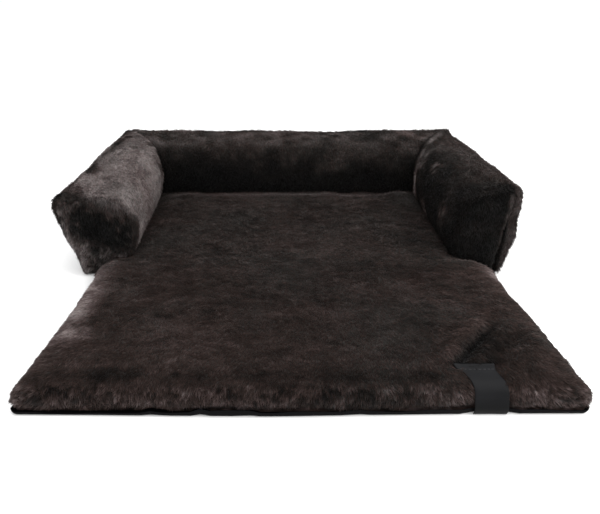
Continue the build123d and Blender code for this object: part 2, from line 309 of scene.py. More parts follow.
def crease_places(x, y):
    """How far along the crease (0 at the strap, 1 at its far end) and how far to its right a place is."""
    line = CREASE[1] - CREASE[0]
    length = np.hypot(*line)
    dx, dy = x - CREASE[0, 0], y - CREASE[0, 1]
    return (dx * line[0] + dy * line[1]) / length**2, (dx * line[1] - dy * line[0]) / length


def strap_middle(y):
    """The strap's centre line runs straight up the roll and leans over to the left at its upper end."""
    return STRAP_X + STRAP_SKEW * ease(y, MAT_FRONT + 8, MAT_FRONT + 48)


def under_strap(x, y, reach):
    """1 where the strap presses the fur down, and 0 from reach beyond its sides and its upper end."""
    beside = np.abs(x - strap_middle(y)) - STRAP_WIDTH / 2
    end = MAT_FRONT + STRAP_REACH
    return ease(beside, reach, -reach) * ease(y, end + 12, end - 4)


def mat_relief(x, y, depth):
    """How far the mat's top is raised: slow waves, the crease with its ridge and the folds beside it, the
    dent under the strap, and the places where the bolsters push the fabric up."""
    flat = on_floor(x, y)
    part, side = crease_places(x, y)
    near = ease(part, -0.12, 0.02) * ease(part, 1.02, 0.35)
    far = ease(part, -0.15, 0.1) * ease(part, 1.35, 0.75)
    rise = 2.4 * rough(flat, 190, 3, 2) + 0.9 * cloudy(flat, 62, 9)
    rise += near * (11 * hump(side, -17, 15) - 15 * hump(side, 3, 9.5))
    rise += far * (4.5 * hump(side, 24, 16) - 6 * hump(side, 47, 15) + 4 * hump(side, 72, 20))
    rise += bumps(x, y, PUSHED_UP) + 3 * cloudy(flat, 52, 19) * hump(y, 288, 30)
    rise *= ease(depth, 34, 95)
    roll = ease(depth, 16, 34) * ease(depth, 110, 60)
    rise += roll * (2.6 * cloudy(flat, 58, 17) + 1.4 * cloudy(flat, 27, 18))
    rise -= 26 * ease(np.abs(x), 380, 426) * hump(y, -48, 26) * ease(depth, 8, 30)
    return rise - 5.5 * under_strap(x, y, 7) * ease(depth, 12, 40)


def edge_rings(across, down):
    """Places on the mat's plan from an unrolled rectangle. A point's depth is how far it is from the
    nearer edge, and the points of one depth lie on a rectangle with round corners. It gives x, y, the
    outward direction at that ring, and the depth."""
    gx, gy = np.meshgrid(across, down, indexing="ij")
    from_side, from_end = PLAN_X - np.abs(gx), PLAN_Y - np.abs(gy)
    depth = np.minimum(from_side, from_end)
    bend = np.maximum(MAT_CORNER + MAT_ROLL - depth, 6)
    cx, cy = PLAN_X - depth - bend, PLAN_Y - depth - bend
    dx, dy = np.abs(gx) - cx, np.abs(gy) - cy
    corner = (dx > 0) & (dy > 0)
    reach = np.maximum(np.hypot(dx, dy), 1e-9)
    sideways = from_side <= from_end
    nx = np.where(corner, dx / reach, np.where(sideways, 1.0, 0.0))
    ny = np.where(corner, dy / reach, np.where(sideways, 0.0, 1.0))
    x = np.where(corner, cx + bend * nx, np.abs(gx))
    y = np.where(corner, cy + bend * ny, np.abs(gy))
    right, rear = np.sign(gx), np.sign(gy)
    return right * x, rear * y + (MAT_REAR + MAT_FRONT) / 2, right * nx, rear * ny, depth


def spread(x, y, nx, ny, out):
    """Moves places on the plan outwards by out. Then x is narrowed to the side's width there over the full
    width, which draws the flap in between its front corners and the arms, and the front edge bows out
    towards its middle."""
    x = x + nx * out
    x = x * np.where(x < 0, along(SIDES, y, 1), along(SIDES, y, 2)) / MAT_SIDE
    return x, y + ny * out + 4.5 * np.minimum(ny, 0) * hump(x, -20, 280) * ease(y, -330, -425)


def mat_grid(across, down, tuck=0.0, drop=0.0):
    """The mat's top: each ring is drawn in and lifted by the edge's profile, read at the ring's depth, and
    the relief is added. tuck draws the whole form in, and drop lowers it."""
    x, y, nx, ny, depth = edge_rings(across, down)
    seat = ease(y, -84, -40)
    inset, height = (
        along(FLAP_EDGE, depth, column) * (1 - seat) + along(SEAT_EDGE, depth, column) * seat
        for column in (1, 2)
    )
    inset = np.where(depth > 220, depth - MAT_ROLL, inset) + tuck * ease(depth, 260, 60)
    x, y = spread(x, y, nx, ny, depth - MAT_ROLL - inset)
    # The flap's rolled edge swells and draws in a little along its length, and lies flat under the strap
    wave = cloudy(on_floor(x, y), 84, 23) * ease(depth, 90, 20) * ease(y, -40, -90)
    pressed = 3.5 * under_strap(x, np.maximum(y, MAT_FRONT + 1), 9) * ease(depth, 44, 10)
    y = y + np.maximum(-ny, 0) * (pressed - 1.8 * wave)
    # The rear edge is held in where the zip's tape lies on it
    y = y - 4.0 * np.maximum(ny, 0) * ease(np.abs(x), 385, 368) * ease(depth, 36, 28)
    x = x + nx * 2.2 * wave
    height = height + mat_relief(x, y, depth)
    return np.stack([x, y, np.maximum(height - drop * ease(depth, 0, 20), 2.2)], axis=-1), depth


def mat_lines(half, fine, coarse):
    """Grid lines from one edge to the other, fine apart over the rolled edges and coarse within."""
    edge = np.concatenate([np.arange(0, 48, fine), np.arange(48, 96, fine * 1.5)])
    inner = np.linspace(96, 2 * half - 96, int((2 * half - 192) / coarse))
    return np.concatenate([edge, inner, 2 * half - edge[::-1]]) - half


def make_mat(name, fine, coarse, tuck=0.0, drop=0.0):
    """The mat as a closed form: its top, and under it the same rings laid flat just off the floor."""
    top, depth = mat_grid(mat_lines(PLAN_X, fine, coarse), mat_lines(PLAN_Y, fine, coarse), tuck, drop)
    under = top.copy()
    under[..., 2] = top[..., 2].min() - 0.6 * ease(depth, 0, 12)
    return slab(name, top, under)


# The bolsters' form

SECTION = spline(SECTION_POINTS, 120, closed=True)


def sections(inner, outer, top, lean, inset):
    """Rows of the bolster's section, one for each value given. Out is stretched from the middle by inner
    or outer, up by top above the foot, and the outer half is leant over by lean. Then each point moves
    in along its normal by the inset."""
    inner, outer, top, lean, inset = (value[:, None] for value in (inner, outer, top, lean, inset))
    out, up = SECTION[None, :, 0], SECTION[None, :, 1]
    free = ease(up, 45, 95)
    pull = np.where(out < MIDDLE, 1 + (inner - 1) * free, 1 + (outer - 1) * free)
    out = MIDDLE + (out - MIDDLE) * pull
    up = np.where(up > 50, 50 + (up - 50) * top, up)
    out = out + lean * ease(up, 30, 185) * ease(out, -110, 0)
    ring = np.stack([out, up + 0 * out], axis=-1)
    step = unit(np.roll(ring, -1, axis=1) - np.roll(ring, 1, axis=1))
    return ring - np.stack([step[..., 1], -step[..., 0]], axis=-1) * inset[..., None]


def crumple(grid, seam_at, seed, strength=1.0):
    """Moves each point of a bolster along its normal: slow and quick noise everywhere above the foot, and
    folds that run away from the seams and die out within a few centimetres."""
    normal = ring_normals(grid)
    free = ease(grid[..., 2], 52, 78)
    shift = 3.0 * rough(grid, 95, seed, 2) + 1.1 * cloudy(grid, 34, seed + 5)
    shift += 3.2 * cloudy(grid, (26, 26, 26), seed + 8) * np.exp(-seam_at / 32)
    return grid + normal * (shift * free * strength)[..., None]


# Along an arm from its front (0) to its mitre (1), and along the back from its middle to a mitre: the
# section's inner, outer and top shares
ARM_SHARES = ((0.0, 0.98, 1.0, 0.985), (0.08, 0.99, 1.02, 0.993), (0.30, 1.0, 1.05, 1.0),
              (0.6, 1.0, 1.0, 0.998), (0.9, 0.96, 0.70, 1.0), (1.0, 0.95, 0.62, 1.048))
BACK_SHARES = ((0.0, 0.97, 1.0, 0.956), (0.36, 0.99, 0.98, 0.962), (0.66, 1.0, 0.86, 0.978),
               (0.88, 0.98, 0.7, 0.992), (1.0, 0.95, 0.62, 1.053))
# For the left arm (-1) and the right (1): how far its front leans outwards, how slim its inner side gets
# towards the mitre, how far the front's outer shoulder is moved out and up, and what stand_out is given
LEANS = {-1: 22.0, 1: 1.0}
SLIMS = {-1: 0.97, 1: 0.90}
SHOULDERS = {-1: (3.0, -13.0), 1: (-4.0, 10.0)}
STANDS_OUT = {-1: (14.5, 168), 1: (18, 155, 3.5)}
# The last rows of a bolster, by how far they are from the mitre
MITRE_ROWS = np.array([10, 6.5, 4, 2, 0.8, 0])
# The depth of an arm's front rim, and the groove in it for the end panel: its share of the panel's
# outline and how far back it lies
ARM_RIM = 14.0
GROOVE = np.array([(0.90, 10.5), (0.955, 9.5), (0.985, 4.5)])


def rounded_end(past):
    """How far a section is drawn in near the mitre: over its last 13 mm, a quarter of an ellipse 5.5 mm
    high. past is how far a row is past the mitre, so it is below zero before it."""
    return 5.5 * (1 - np.sqrt(1 - np.clip(past / 13 + 1, 0, 1) ** 2))


def arm_grid(side, inset):
    """An arm: sections carried from the front to the mitre, whose plane is at 45 degrees, so that a point
    further out ends further back. The front rim is a quarter of an ellipse from the full section in to
    the end panel's outline, and a groove behind the panel's edge closes it."""
    start = ARM_FRONT + 3 * inset
    length = REAR_Y - inset - start
    v = np.concatenate([np.linspace(ARM_RIM, length - 15, 60), length - MITRE_ROWS]) / length
    inner = along(ARM_SHARES, v, 1) * (1 + (SLIMS[side] - 1) * ease(v, 0.3, 0.9))
    lean = LEANS[side] * (1 - 0.9 * ease(v, 0.0, 0.4))
    rows = sections(inner, along(ARM_SHARES, v, 2), along(ARM_SHARES, v, 3), lean,
                    inset + rounded_end((v - 1) * length))
    y = start + v[:, None] * length + rows[..., 0] * ease(v, 0.55, 1.0)[:, None] - 0.4
    body = np.concatenate([rows[..., :1], y[..., None], rows[..., 1:]], axis=-1)
    full = body[0]
    panel = panel_outline(full, side)
    turn = np.radians(np.linspace(90, 0, 9)[:-1])
    front = full + (panel - full) * (1 - np.cos(turn))[:, None, None]
    front[..., 1] = start + ARM_RIM * (1 - np.sin(turn))[:, None]
    middle = panel.mean(axis=0)
    groove = middle + (panel - middle) * GROOVE[:, 0, None, None]
    groove[..., 1] = start + GROOVE[:, 1, None]
    grid = np.concatenate([groove, front, body])
    shoulder = ease(grid[..., 1], 190, -42) * ease(grid[..., 0], -60, 14) * ease(grid[..., 2], 105, 185)
    grid[..., 0] += SHOULDERS[side][0] * shoulder
    grid[..., 2] += SHOULDERS[side][1] * shoulder
    return grid


def panel_outline(full, side):
    """The end panel's outline: the arm's section drawn in towards a middle that is set off to the inside,
    so that the right arm's outer side shows round it as a broad roll."""
    middle = np.array([MIDDLE - 8, 0, 96.0])
    panel = middle + (full - middle) * ((0.90, 1, 0.97) if side < 0 else (0.77, 1, 0.95))
    if side > 0:
        panel[..., 0] -= 10 * hump(panel[..., 2], 108, 40) * ease(panel[..., 0], -70, -15)
    return panel


def world(grid, kind):
    """Out, along and up to X, Y and Z: an arm stands out along X, the back along Y."""
    if kind == "back":
        return np.stack([grid[..., 1], REAR_Y + grid[..., 0], grid[..., 2]], axis=-1)
    return np.stack([kind * (HALF_WIDTH + grid[..., 0]), grid[..., 1], grid[..., 2]], axis=-1)


def make_arm(name, side, inset=0.0):
    """An arm's skin, crumpled, sewn flat along its zip and standing out at its front, or with an inset
    the form of its filling, which doesn't stand out."""
    grid = arm_grid(side, inset)
    grid = crumple(grid, np.abs(REAR_Y + grid[..., 0] - grid[..., 1]), 60 + side)
    sewn_flat(grid, ease(grid[..., 1], 8, 26))
    if inset == 0:
        stand_out(grid, *STANDS_OUT[side])
    return tubes(name, world(grid, side)[None])


def sewn_flat(grid, strip):
    """Along a zip the foot's outer side is flat, so that the tape lies on it: where strip is 1, out is held
    back to 0.6 mm up to a height of 52 mm and let go by 64."""
    hold = strip * ease(grid[..., 2], 64, 52) * (grid[..., 0] > -20)
    grid[..., 0] += (np.minimum(grid[..., 0], 0.6) - grid[..., 0]) * hold


def stand_out(grid, reach, high, shoulder=0.0):
    """In front of the zip an arm's outer side stands out by reach, which fades in over the foot and out
    over the 80 mm below high. Its shoulder bulges a little, and its foot tapers in and wraps down over
    the mat's edge."""
    ahead, z = ease(grid[..., 1], 14, -16), grid[..., 2].copy()
    outer = ease(grid[..., 0], -30, 0)
    side = reach * ease(z, high, high - 80) * ease(z, 12, 48) - 7 * ease(z, 34, 16)
    grid[..., 0] += ahead * outer * (side + shoulder * hump(z, 156, 18))
    grid[..., 2] -= 24 * ahead * ease(z, 74, 30) * ease(grid[..., 0], -78, -36)
    grid[..., 2] = np.maximum(grid[..., 2], 3.5)


def make_back(name, inset=0.0):
    """The back: sections carried from one mitre to the other."""
    ends = 1 - MITRE_ROWS / HALF_WIDTH
    v = np.concatenate([-ends[::-1], np.linspace(-0.965, 0.965, 104), ends])
    size = np.abs(v)
    shares = (along(BACK_SHARES, size, i) for i in (1, 2, 3))
    rows = sections(*shares, 0 * v, inset + rounded_end((size - 1) * HALF_WIDTH))
    past = rows[..., 0] * ease(size, 0.55, 1.0)[:, None] - 0.4
    x = v[:, None] * (HALF_WIDTH - inset) + np.sign(v)[:, None] * past
    grid = np.concatenate([rows[..., :1], x[..., None], rows[..., 1:]], axis=-1)
    grid = crumple(grid, HALF_WIDTH + grid[..., 0] - np.abs(grid[..., 1]), 71, 0.9)
    sewn_flat(grid, 1.0)
    return tubes(name, world(grid, "back")[None])


def make_panel(name, side):
    """An arm's end panel: rings from the middle of its back, round its edge and over its domed face. Each
    is a share of the outline, and lies behind the arm's front, or ahead of it where that is below 0."""
    panel = arm_grid(side, 0.0)[len(GROOVE)]
    middle = np.array([panel[:, 0].mean(), 0, panel[:, 2].mean()])
    share = np.array([0.3, 0.7, 0.90, 0.955, 0.985, 0.995, 0.985, 0.965, 0.93, 0.88, 0.82, 0.74, 0.65, 0.55,
                      0.45, 0.35, 0.25, 0.15, 0.06])
    behind = np.array([9.0, 9.0, 8.6, 8.0, 6.0, 3.4, 1.0, -0.8, -2.4, -3.8, -4.8, -5.8, -6.6, -7.2,
                       -7.6, -7.9, -8.1, -8.2, -8.2])
    grid = middle + (panel - middle) * share[:, None, None]
    grid[..., 1] = ARM_FRONT + behind[:, None]
    face = (ease(share, 1.0, 0.86) * (behind < 0))[:, None]
    grid[..., 1] += face * (2.6 * rough(grid, 55, 90 + side, 2) + 1.2 * cloudy(grid, 21, 95 + side) - 0.6)
    stand_out(grid, STANDS_OUT[-1][0] if side < 0 else 0, 168)
    return tubes(name, world(grid, side)[None])


# Cloth, strap and zips

# The base cloth's edge: how deep a place is on the plan, and how far in from the edge it ends up
BASE_EDGE = ((0, -1.0), (5, -0.8), (10, 1.0), (16, 6), (96, 64))


def low_lip(x):
    """How much lower the base cloth's lip and the fur's hem are towards the front corners."""
    return 5.0 * ease(x, -170, -290) + 3.0 * ease(x, 350, 425)


def make_base_cloth(name):
    """The smooth cloth under the mat: flat on the floor, turned up at its edge into a lip that is 2 to
    9 mm high and wanders, with a few puckers along the front. Its two faces are a millimetre apart."""
    x, y, nx, ny, depth = edge_rings(mat_lines(PLAN_X, 2.5, 15), mat_lines(PLAN_Y, 2.5, 15))
    inset = np.where(depth > 96, depth - MAT_ROLL, along(BASE_EDGE, depth, 1))
    x, y = spread(x, y, nx, ny, depth - MAT_ROLL - inset)
    outer = on_floor(x, y)
    front = ease(y, -395, -428)
    lip = 3.6 + 1.2 * cloudy(outer, 60, 31)
    lip += front * (7.0 + 3.0 * cloudy(outer, 52, 32) + 4.5 * hump(x, -116, 34) - low_lip(x))
    pucker = sum(hump(x, at, 7) for at in (-226, -152, -84, 86)) * front
    lip = (lip + 2.2 * pucker) * ease(y, -35, -70) + 1.4 * ease(y, -70, -35)
    turn = ease(depth, 11, 0.5)
    beside_strap = 1 - ease(np.abs(x - STRAP_X), STRAP_WIDTH / 2 + 8, STRAP_WIDTH / 2 - 2)
    outer[..., 1] -= (6.5 + 2.2 * ease(x, 120, -60)) * front * ease(depth, 34, 10) * beside_strap
    outer[..., 1] += 1.6 * pucker * turn
    outer[..., 2] = 0.5 + lip * turn + 4.2 * pucker * ease(depth, 60, 16)
    thick = ease(depth, 0, 4)
    hem = thick * ease(depth, 26, 12)
    return slab(name, outer + np.stack([-nx * hem, -ny * hem, thick], axis=-1), outer)


def strap_path():
    """The strap's centre line, from the floor up over the roll: the mat's own line there, smoothed, with
    the direction that points away from the mat."""
    line = mat_grid(np.array([STRAP_X]), np.linspace(2, 84, 12) - PLAN_Y)[0][0, :, 1:]
    line[:, 0] -= 8.5 * ease(line[:, 1], 26, 8)
    line[:, 1] -= 3.6 * ease(line[:, 1], 16, 5)
    line = spline(line, 72)
    step = unit(np.gradient(line, axis=0))
    return line, np.stack([-step[:, 1], step[:, 0]], axis=-1)


def strap_point(line, away, beside, above):
    """A place on the band: beside its centre line, and above it. The band is cupped a little, its upper
    end dips into the fur, and its left edge curls up there."""
    y = line[..., 0]
    end = ease(y, MAT_FRONT + 18, MAT_FRONT + 52)
    share = beside / (STRAP_WIDTH / 2)
    lift = 4.4 + above + 0.9 * share**2 + end * (2.0 * ease(share, -0.5, -1.0) - 1.2)
    x = strap_middle(y) + beside * 0.94 - 13 * end**2 * ease(share, 0.6, -1.0)
    return np.stack([x, y + away[..., 0] * lift, line[..., 1] + away[..., 1] * lift], axis=-1)


def make_strap(name):
    """The leather band: a flat rounded section, 2.4 mm thick, carried along the strap's line and drawn in
    at both ends."""
    line, away = strap_path()
    across, up = rounded_section(72, 0.24, 0.7)
    size = np.ones((72, 1))
    size[[0, 1, -2, -1], 0] = (0.35, 0.8, 0.8, 0.35)
    beside = across * STRAP_WIDTH / 2 + 0 * size
    return tubes(name, strap_point(line[:, None], away[:, None], beside, up * 1.2 * size)[None])


def beads(name, centres, along_dir, up_dir, length, width, height):
    """One small closed form, rings of an ellipse that shrink towards both ends, at each centre."""
    t = np.linspace(-1, 1, 7)[:, None]
    turn = np.linspace(0, 2 * math.pi, 8, endpoint=False)
    size = np.sqrt(np.maximum(1 - np.abs(t) ** 2.6, 0.02))
    # Its rings along, across and up
    form = (
        np.multiply.outer(t * length / 2 + 0 * turn, along_dir)
        + np.multiply.outer(size * np.cos(turn) * width / 2, np.cross(up_dir, along_dir))
        + np.multiply.outer(size * np.sin(turn) * height / 2, up_dir)
    )
    return tubes(name, centres[:, None, None] + form)


def make_stitches(name):
    """Eight thread stitches across the strap's upper end."""
    line, away = strap_path()
    at = np.argmin(np.abs(line[:, 0] - (MAT_FRONT + STRAP_REACH - 7)))
    beside = (np.arange(8) - 3.5) * 6.4
    centres = strap_point(np.tile(line[at], (8, 1)), np.tile(away[at], (8, 1)), beside, 1.25)
    return beads(name, centres, np.array([1.0, 0, 0]), np.array([0, *away[at]]), 4.8, 1.1, 0.9)


def make_tape(name, node):
    """A zip's two tape halves: flat strips with round edges and a slight ripple, in their node's box."""
    low, high = (np.array(corner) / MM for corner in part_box(node))
    lengthwise = 0 if high[0] - low[0] > high[1] - low[1] else 1
    through = 1 - lengthwise
    t = np.linspace(low[lengthwise], high[lengthwise], 120)[:, None]
    gap = 0.6
    half = (high[2] - low[2] - gap) / 4
    across, up = rounded_section(24, 0.3, 0.6)
    strips = np.zeros((2, 120, 24, 3))
    for strip, side in zip(strips, (-1, 1)):
        strip[..., 2] = (low[2] + high[2]) / 2 + side * (half + gap / 2) + across * half
        strip[..., lengthwise] = t
        ripple = 0.14 * ease(side * across, 0, 1) * np.sin(t / 5.5 + side)
        strip[..., through] = (low[through] + high[through]) / 2 + up * 0.36 + ripple
    return tubes(name, strips)


# The nap. Each function gives the fur's tone at a place, from 0, nearly black, to 1, light, and how warm
# it is, from 0 to 1: sums of noise, and of steps and bells where the picture is lighter or darker. Many of
# these steps and bells are painted light: painted sheen and highlights where the nap catches the lamps,
# and painted shade on faces turned from them, in creases and in the corners between the parts.


def side_depth(p):
    """How far a place is inside the flap's left side and inside its right side."""
    x, y = p[..., 0], p[..., 1]
    return x + along(SIDES, y, 1), along(SIDES, y, 2) - x


# Painted sheen: places where the mat's nap lies the other way and catches the light, painted lighter: x, y,
# its reaches and how much lighter
PAINTED_SHEEN_PATCHES = (
    (-398, -176, 24, 34, 0.48), (-404, -243, 28, 28, 0.56), (-392, -312, 38, 24, 0.50),
    (-412, -130, 18, 40, 0.34), (416, -116, 18, 30, 0.44), (362, -58, 26, 11, 0.24),
    (398, -80, 24, 16, 0.14), (-378, -80, 38, 22, 0.18), (352, -352, 30, 14, 0.10),
)


def mat_tone_and_painted_light(p, _):
    """The mat: dark, with streaks along the sweep of a hand, and lighter on the roll. Painted sheen makes it
    lighter along its left edge and on the sheen patches, painted highlights lighten it by the bolsters and
    along the crease's ridge, and painted shade darkens it behind the roll and in the crease."""
    x, y = p[..., 0], p[..., 1]
    left, _ = side_depth(p)
    ahead = y - MAT_FRONT
    part, side = crease_places(x, y)
    swept = p + np.array([0.0, 1.0, 0.0]) * (16 * cloudy(p, 70, 204))[..., None]
    tone = 0.33 + 0.10 * rough(p, (150, 120, 90), 201) + 0.07 * cloudy(swept, (40, 12, 30), 205)
    tone += 0.09 * cloudy(swept, (14, 5, 12), 206)
    patchy = np.maximum(0.5 + 0.75 * cloudy(p, (42, 50, 40), 210), 0)
    # Painted sheen along the flap's left edge and on the sheen patches, where the nap catches the light
    tone += 0.20 * ease(left, 66, 20) * ease(y, -352, -300) * ease(y, -62, -105) * patchy
    tone += bumps(x, y, PAINTED_SHEEN_PATCHES) * (0.8 + 0.5 * cloudy(p, (14, 12, 20), 211))
    tone += 0.10 * ease(left, 40, 10) * ease(y, -300, -360) + 0.06 * ease(left, 70, 30) * ease(y, -60, -100)
    roll = ease(ahead, 20, 6)
    tufts = 0.13 * cloudy(p, (34, 20, 22), 214) + 0.26 * cloudy(p, (5, 5, 4), 216)
    tone += roll * (-0.03 + 0.10 * ease(x, 60, 200) + tufts)
    # Painted shade: a dark band where the fur parts behind the roll
    tone -= 0.19 * hump(ahead, 29, 12) * (0.7 + 0.6 * cloudy(p, (60, 30, 30), 215)) * ease(x, 245, 200)
    # Painted highlight on the crease's ridge and painted shade in the crease; darker bands on the folds
    # beside it
    tone += 0.02 * hump(side, -20, 15) * ease(part, -0.1, 0.1) * ease(part, 1.0, 0.6)
    tone -= 0.32 * hump(side, 3, 7) * ease(part, -0.08, 0.05) * ease(part, 0.95, 0.6)
    tone -= 0.12 * hump(side, 24, 16) * ease(part, -0.15, 0.0) * ease(part, 0.8, 0.4)
    tone -= 0.07 * hump(side, 46, 16) * ease(part, -0.1, 0.1) * ease(part, 1.2, 0.8)
    # Painted highlight along the seat's rear edge, at the foot of the back and between the arms
    tone += 0.12 * ease(y, 262, 280) * ease(np.abs(x), 335, 300) * (0.6 + 0.5 * cloudy(p, (50, 30, 30), 219))
    tone += 0.22 * hump(y, 288, 7) * ease(np.abs(x), 340, 320)
    warm = 0.56 + 0.22 * ease(y, -40, -150) + 0.85 * rough(p, (170, 130, 90), 231)
    return tone, warm + 0.1 * roll + 0.3 * hump(side, -20, 18) * (part < 1.1)


def arm_warmth(p):
    """Both arms are middling warm, in wide patches."""
    return 0.45 + 0.5 * rough(p, 90, 261, 2)


def left_arm_tone_and_painted_light(p, n):
    """The left arm: light on top, painted light where its nap catches the lamp, with dark flecks towards its
    rear and on its outer shoulder. Painted shade makes it middling and dark in front of a ragged border,
    darker low on its inner side and in the corner by the back, and darker on its outer side, which faces away
    from the key lamp."""
    out, y, z = -p[..., 0] - HALF_WIDTH, p[..., 1], p[..., 2]
    mottled, fine = cloudy(p, 26, 240), cloudy(p, 10, 241)
    # Painted light: the top is light where its nap catches the lamp
    tone = 0.79 + 0.27 * rough(p, (80, 110, 70), 243) + 0.11 * cloudy(p, (10, 24, 10), 245)
    tone -= 0.34 * ease(y, 190, 300) * ease(cloudy(p, (16, 26, 16), 247), 0.0, 0.5)
    tone -= 0.26 * ease(y, 262, 350) * (0.8 + 0.9 * mottled + 0.5 * fine)
    tone -= 0.48 * ease(out, -26, 10) * ease(cloudy(p, (20, 34, 20), 246), -0.18, 0.35)
    # Painted shade low on the inner side, facing the mat, and in the corner by the back
    tone -= 0.22 * ease(z, 78, 52) * ease(out, -60, -90) * (0.6 + 0.4 * mottled)
    tone -= 0.30 * ease(y, 250, 300) * ease(out, -70, -110) * ease(z, 120, 70)
    # Painted shade in front of the ragged border
    border = 6 - 64 * ease(out, 22, -34) + 12 * mottled + 6 * fine
    border += 34 * ease(z, 160, 130) * ease(out, -60, -90)
    speckled = 0.18 * mottled + 0.16 * fine
    tone = toward(tone, 0.48 + speckled, ease(y, border + 26, border + 4))
    tone = toward(tone, 0.25 + speckled + 0.08 * ease(out, 0, 25), ease(y, border + 2, border - 14))
    # Painted shade on the outer side, turned away from the key lamp
    outside = ease(-n[..., 0], 0.30, 0.65) * ease(z, 188, 168)
    return toward(tone, 0.36 + 0.14 * mottled + 0.07 * fine, outside), arm_warmth(p)


def right_arm_tone_and_painted_light(p, n):
    """The right arm: middling on top and on its outer side. Painted shade makes it darker at its front's edge
    and nearly black on its inner faces, which face away from the key lamp, with light tufts there; a painted
    highlight gives it a light ridge along the mitre."""
    out, y, z = p[..., 0] - HALF_WIDTH, p[..., 1], p[..., 2]
    mottled, fine = cloudy(p, 26, 240), cloudy(p, 10, 241)
    tone = 0.47 - 0.06 * ease(y, 200, 300) + 0.08 * rough(p, (60, 110, 60), 253)
    tone += 0.10 * cloudy(p, (6, 60, 6), 255)
    # Painted shade along the front's edge
    front = -6 + 0.32 * (10 - out) + 10 * mottled + 5 * fine
    ahead = ease(y, front + 12, front - 16) * ease(out, 12, 0)
    tone = toward(tone, 0.16 + 0.10 * mottled + 0.06 * fine, ahead)
    # Painted shade on the inner faces, turned from the key lamp
    inside = np.maximum(ease(-n[..., 0], -0.1, 0.7), ease(-n[..., 1], 0.1, 0.6) * ease(out, 8, -8))
    tone = toward(tone, 0.085 + 0.02 * ease(y, 60, 160) + 0.11 * mottled + 0.08 * fine, inside)
    tone += 0.26 * hump(out, -104, 26) * hump(y, 256, 28) * (0.7 + 0.6 * mottled)
    tone += 0.60 * hump(out, -90, 14) * hump(y, 162, 19) * (0.7 + 0.6 * fine)
    tone += 0.46 * hump(y, 15, 22) * hump(z, 124, 28) * (0.7 + 0.7 * fine) * inside
    # Painted highlight: a light ridge along the mitre, beside the crevice
    ridge = hump(REAR_Y + out - y, 22, 13) * ease(z, 30, 60) * ease(out, -20, -50)
    tone += 0.66 * ridge * np.maximum(0.65 + 0.6 * mottled, 0)
    tufts = 0.34 * hump(y, 258, 32) * ease(z, 50, 90) * np.maximum(0.65 + 0.6 * mottled + 0.4 * fine, 0)
    tufts += 0.26 * hump(y, 150, 34) * hump(z, 80, 24) * np.maximum(0.6 + 0.5 * mottled + 0.5 * fine, 0)
    tone += tufts * inside
    outside = ease(out, 4, 20) * ease(z, 192, 172)
    return toward(tone, 0.47 + 0.14 * mottled + 0.10 * fine, outside), arm_warmth(p)


def left_panel_tone_and_painted_light(p, _):
    """The left arm's end panel: speckled, darker in its middle, lighter at its foot and outer side, with a
    band of painted light along its top, where it meets the arm's lit top."""
    out, z = -p[..., 0] - HALF_WIDTH, p[..., 2]
    mottled, fine, specks = cloudy(p, 30, 270), cloudy(p, 9, 271), cloudy(p, 4.5, 272)
    tone = 0.23 + 0.26 * mottled + 0.32 * fine + 0.22 * specks + 0.20 * ease(z, 110, 50)
    tone += 0.26 * ease(out, 12, 28) + 0.22 * ease(z, 140, 80) * ease(out, -12, 8)
    tone -= 0.28 * hump(out, -40, 50) * hump(z, 128, 38)
    # Painted light: the band along the top, like the arm's lit top
    high = z - 180 - 0.33 * (out + 48) + 6 * mottled + 3 * fine
    tone = toward(tone, 0.44 + 0.12 * fine, ease(high, -34, -8))
    return toward(tone, 0.76 + 0.06 * mottled, ease(high, -8, 8)), 0.4 + 0.4 * mottled


def right_panel_tone_and_painted_light(p, _):
    """The right arm's end panel: painted shade makes it nearly black, and it is lighter at its outer edge."""
    out = p[..., 0] - HALF_WIDTH
    mottled, fine = cloudy(p, 30, 270), cloudy(p, 9, 271)
    # Painted shade: the panel is nearly black, lighter only at its outer edge
    tone = 0.08 + 0.09 * mottled + 0.09 * fine + (0.36 + 0.10 * fine) * ease(out, -9, 2)
    return tone, 0.4 + 0.4 * mottled


def back_tone_and_painted_light(p, n):
    """The back: middling on top, with painted shade down its front face to nearly black at the foot, where it
    meets the seat, a lighter stretch right of the middle, and even at its rear."""
    x, z = p[..., 0], p[..., 2]
    mottled = cloudy(p, (46, 40, 34), 280)
    tone = 0.36 + 0.09 * ease(x, 160, -180) + 0.10 * rough(p, (90, 60, 60), 281)
    tone += 0.22 * cloudy(p, (26, 18, 14), 283)
    # Painted shade on the front face, from the middle down to nearly black at the foot
    low = 0.045 + 0.25 * ease(z, 112, 186) + 0.08 * mottled
    low += 0.08 * cloudy(p, (16, 12, 20), 284) + 0.06 * cloudy(p, (6, 6, 7), 285)
    low += 0.22 * hump(x, 130, 150) * hump(z, 122, 34) * np.maximum(0.5 + 0.9 * mottled, 0)
    low += 0.06 * ease(x, 60, 260) - 0.05 * hump(x, -190, 110)
    tone = toward(tone, low, ease(-n[..., 1], 0.05, 0.75) * ease(z, 192, 172))
    tone = toward(tone, 0.34 + 0.06 * mottled, ease(n[..., 1], 0.2, 0.7))
    return tone, 0.45 + 0.5 * rough(p, (110, 90, 90), 291, 2)


def painted(obj, nap):
    """The skin, with the nap written at each of its points, for the colour between the locks; the nap's tone
    carries its painted light and shade.
    """
    tone, warm = nap(*points_of(obj))
    colour = np.stack([np.clip(tone, 0, 1), np.clip(warm, 0, 1), 0 * tone, 1 + 0 * tone], axis=-1)
    layer = obj.data.attributes.new("nap", "FLOAT_COLOR", "POINT")
    layer.data.foreach_set("color", colour.astype(np.float32).ravel())
    return obj


# The fur


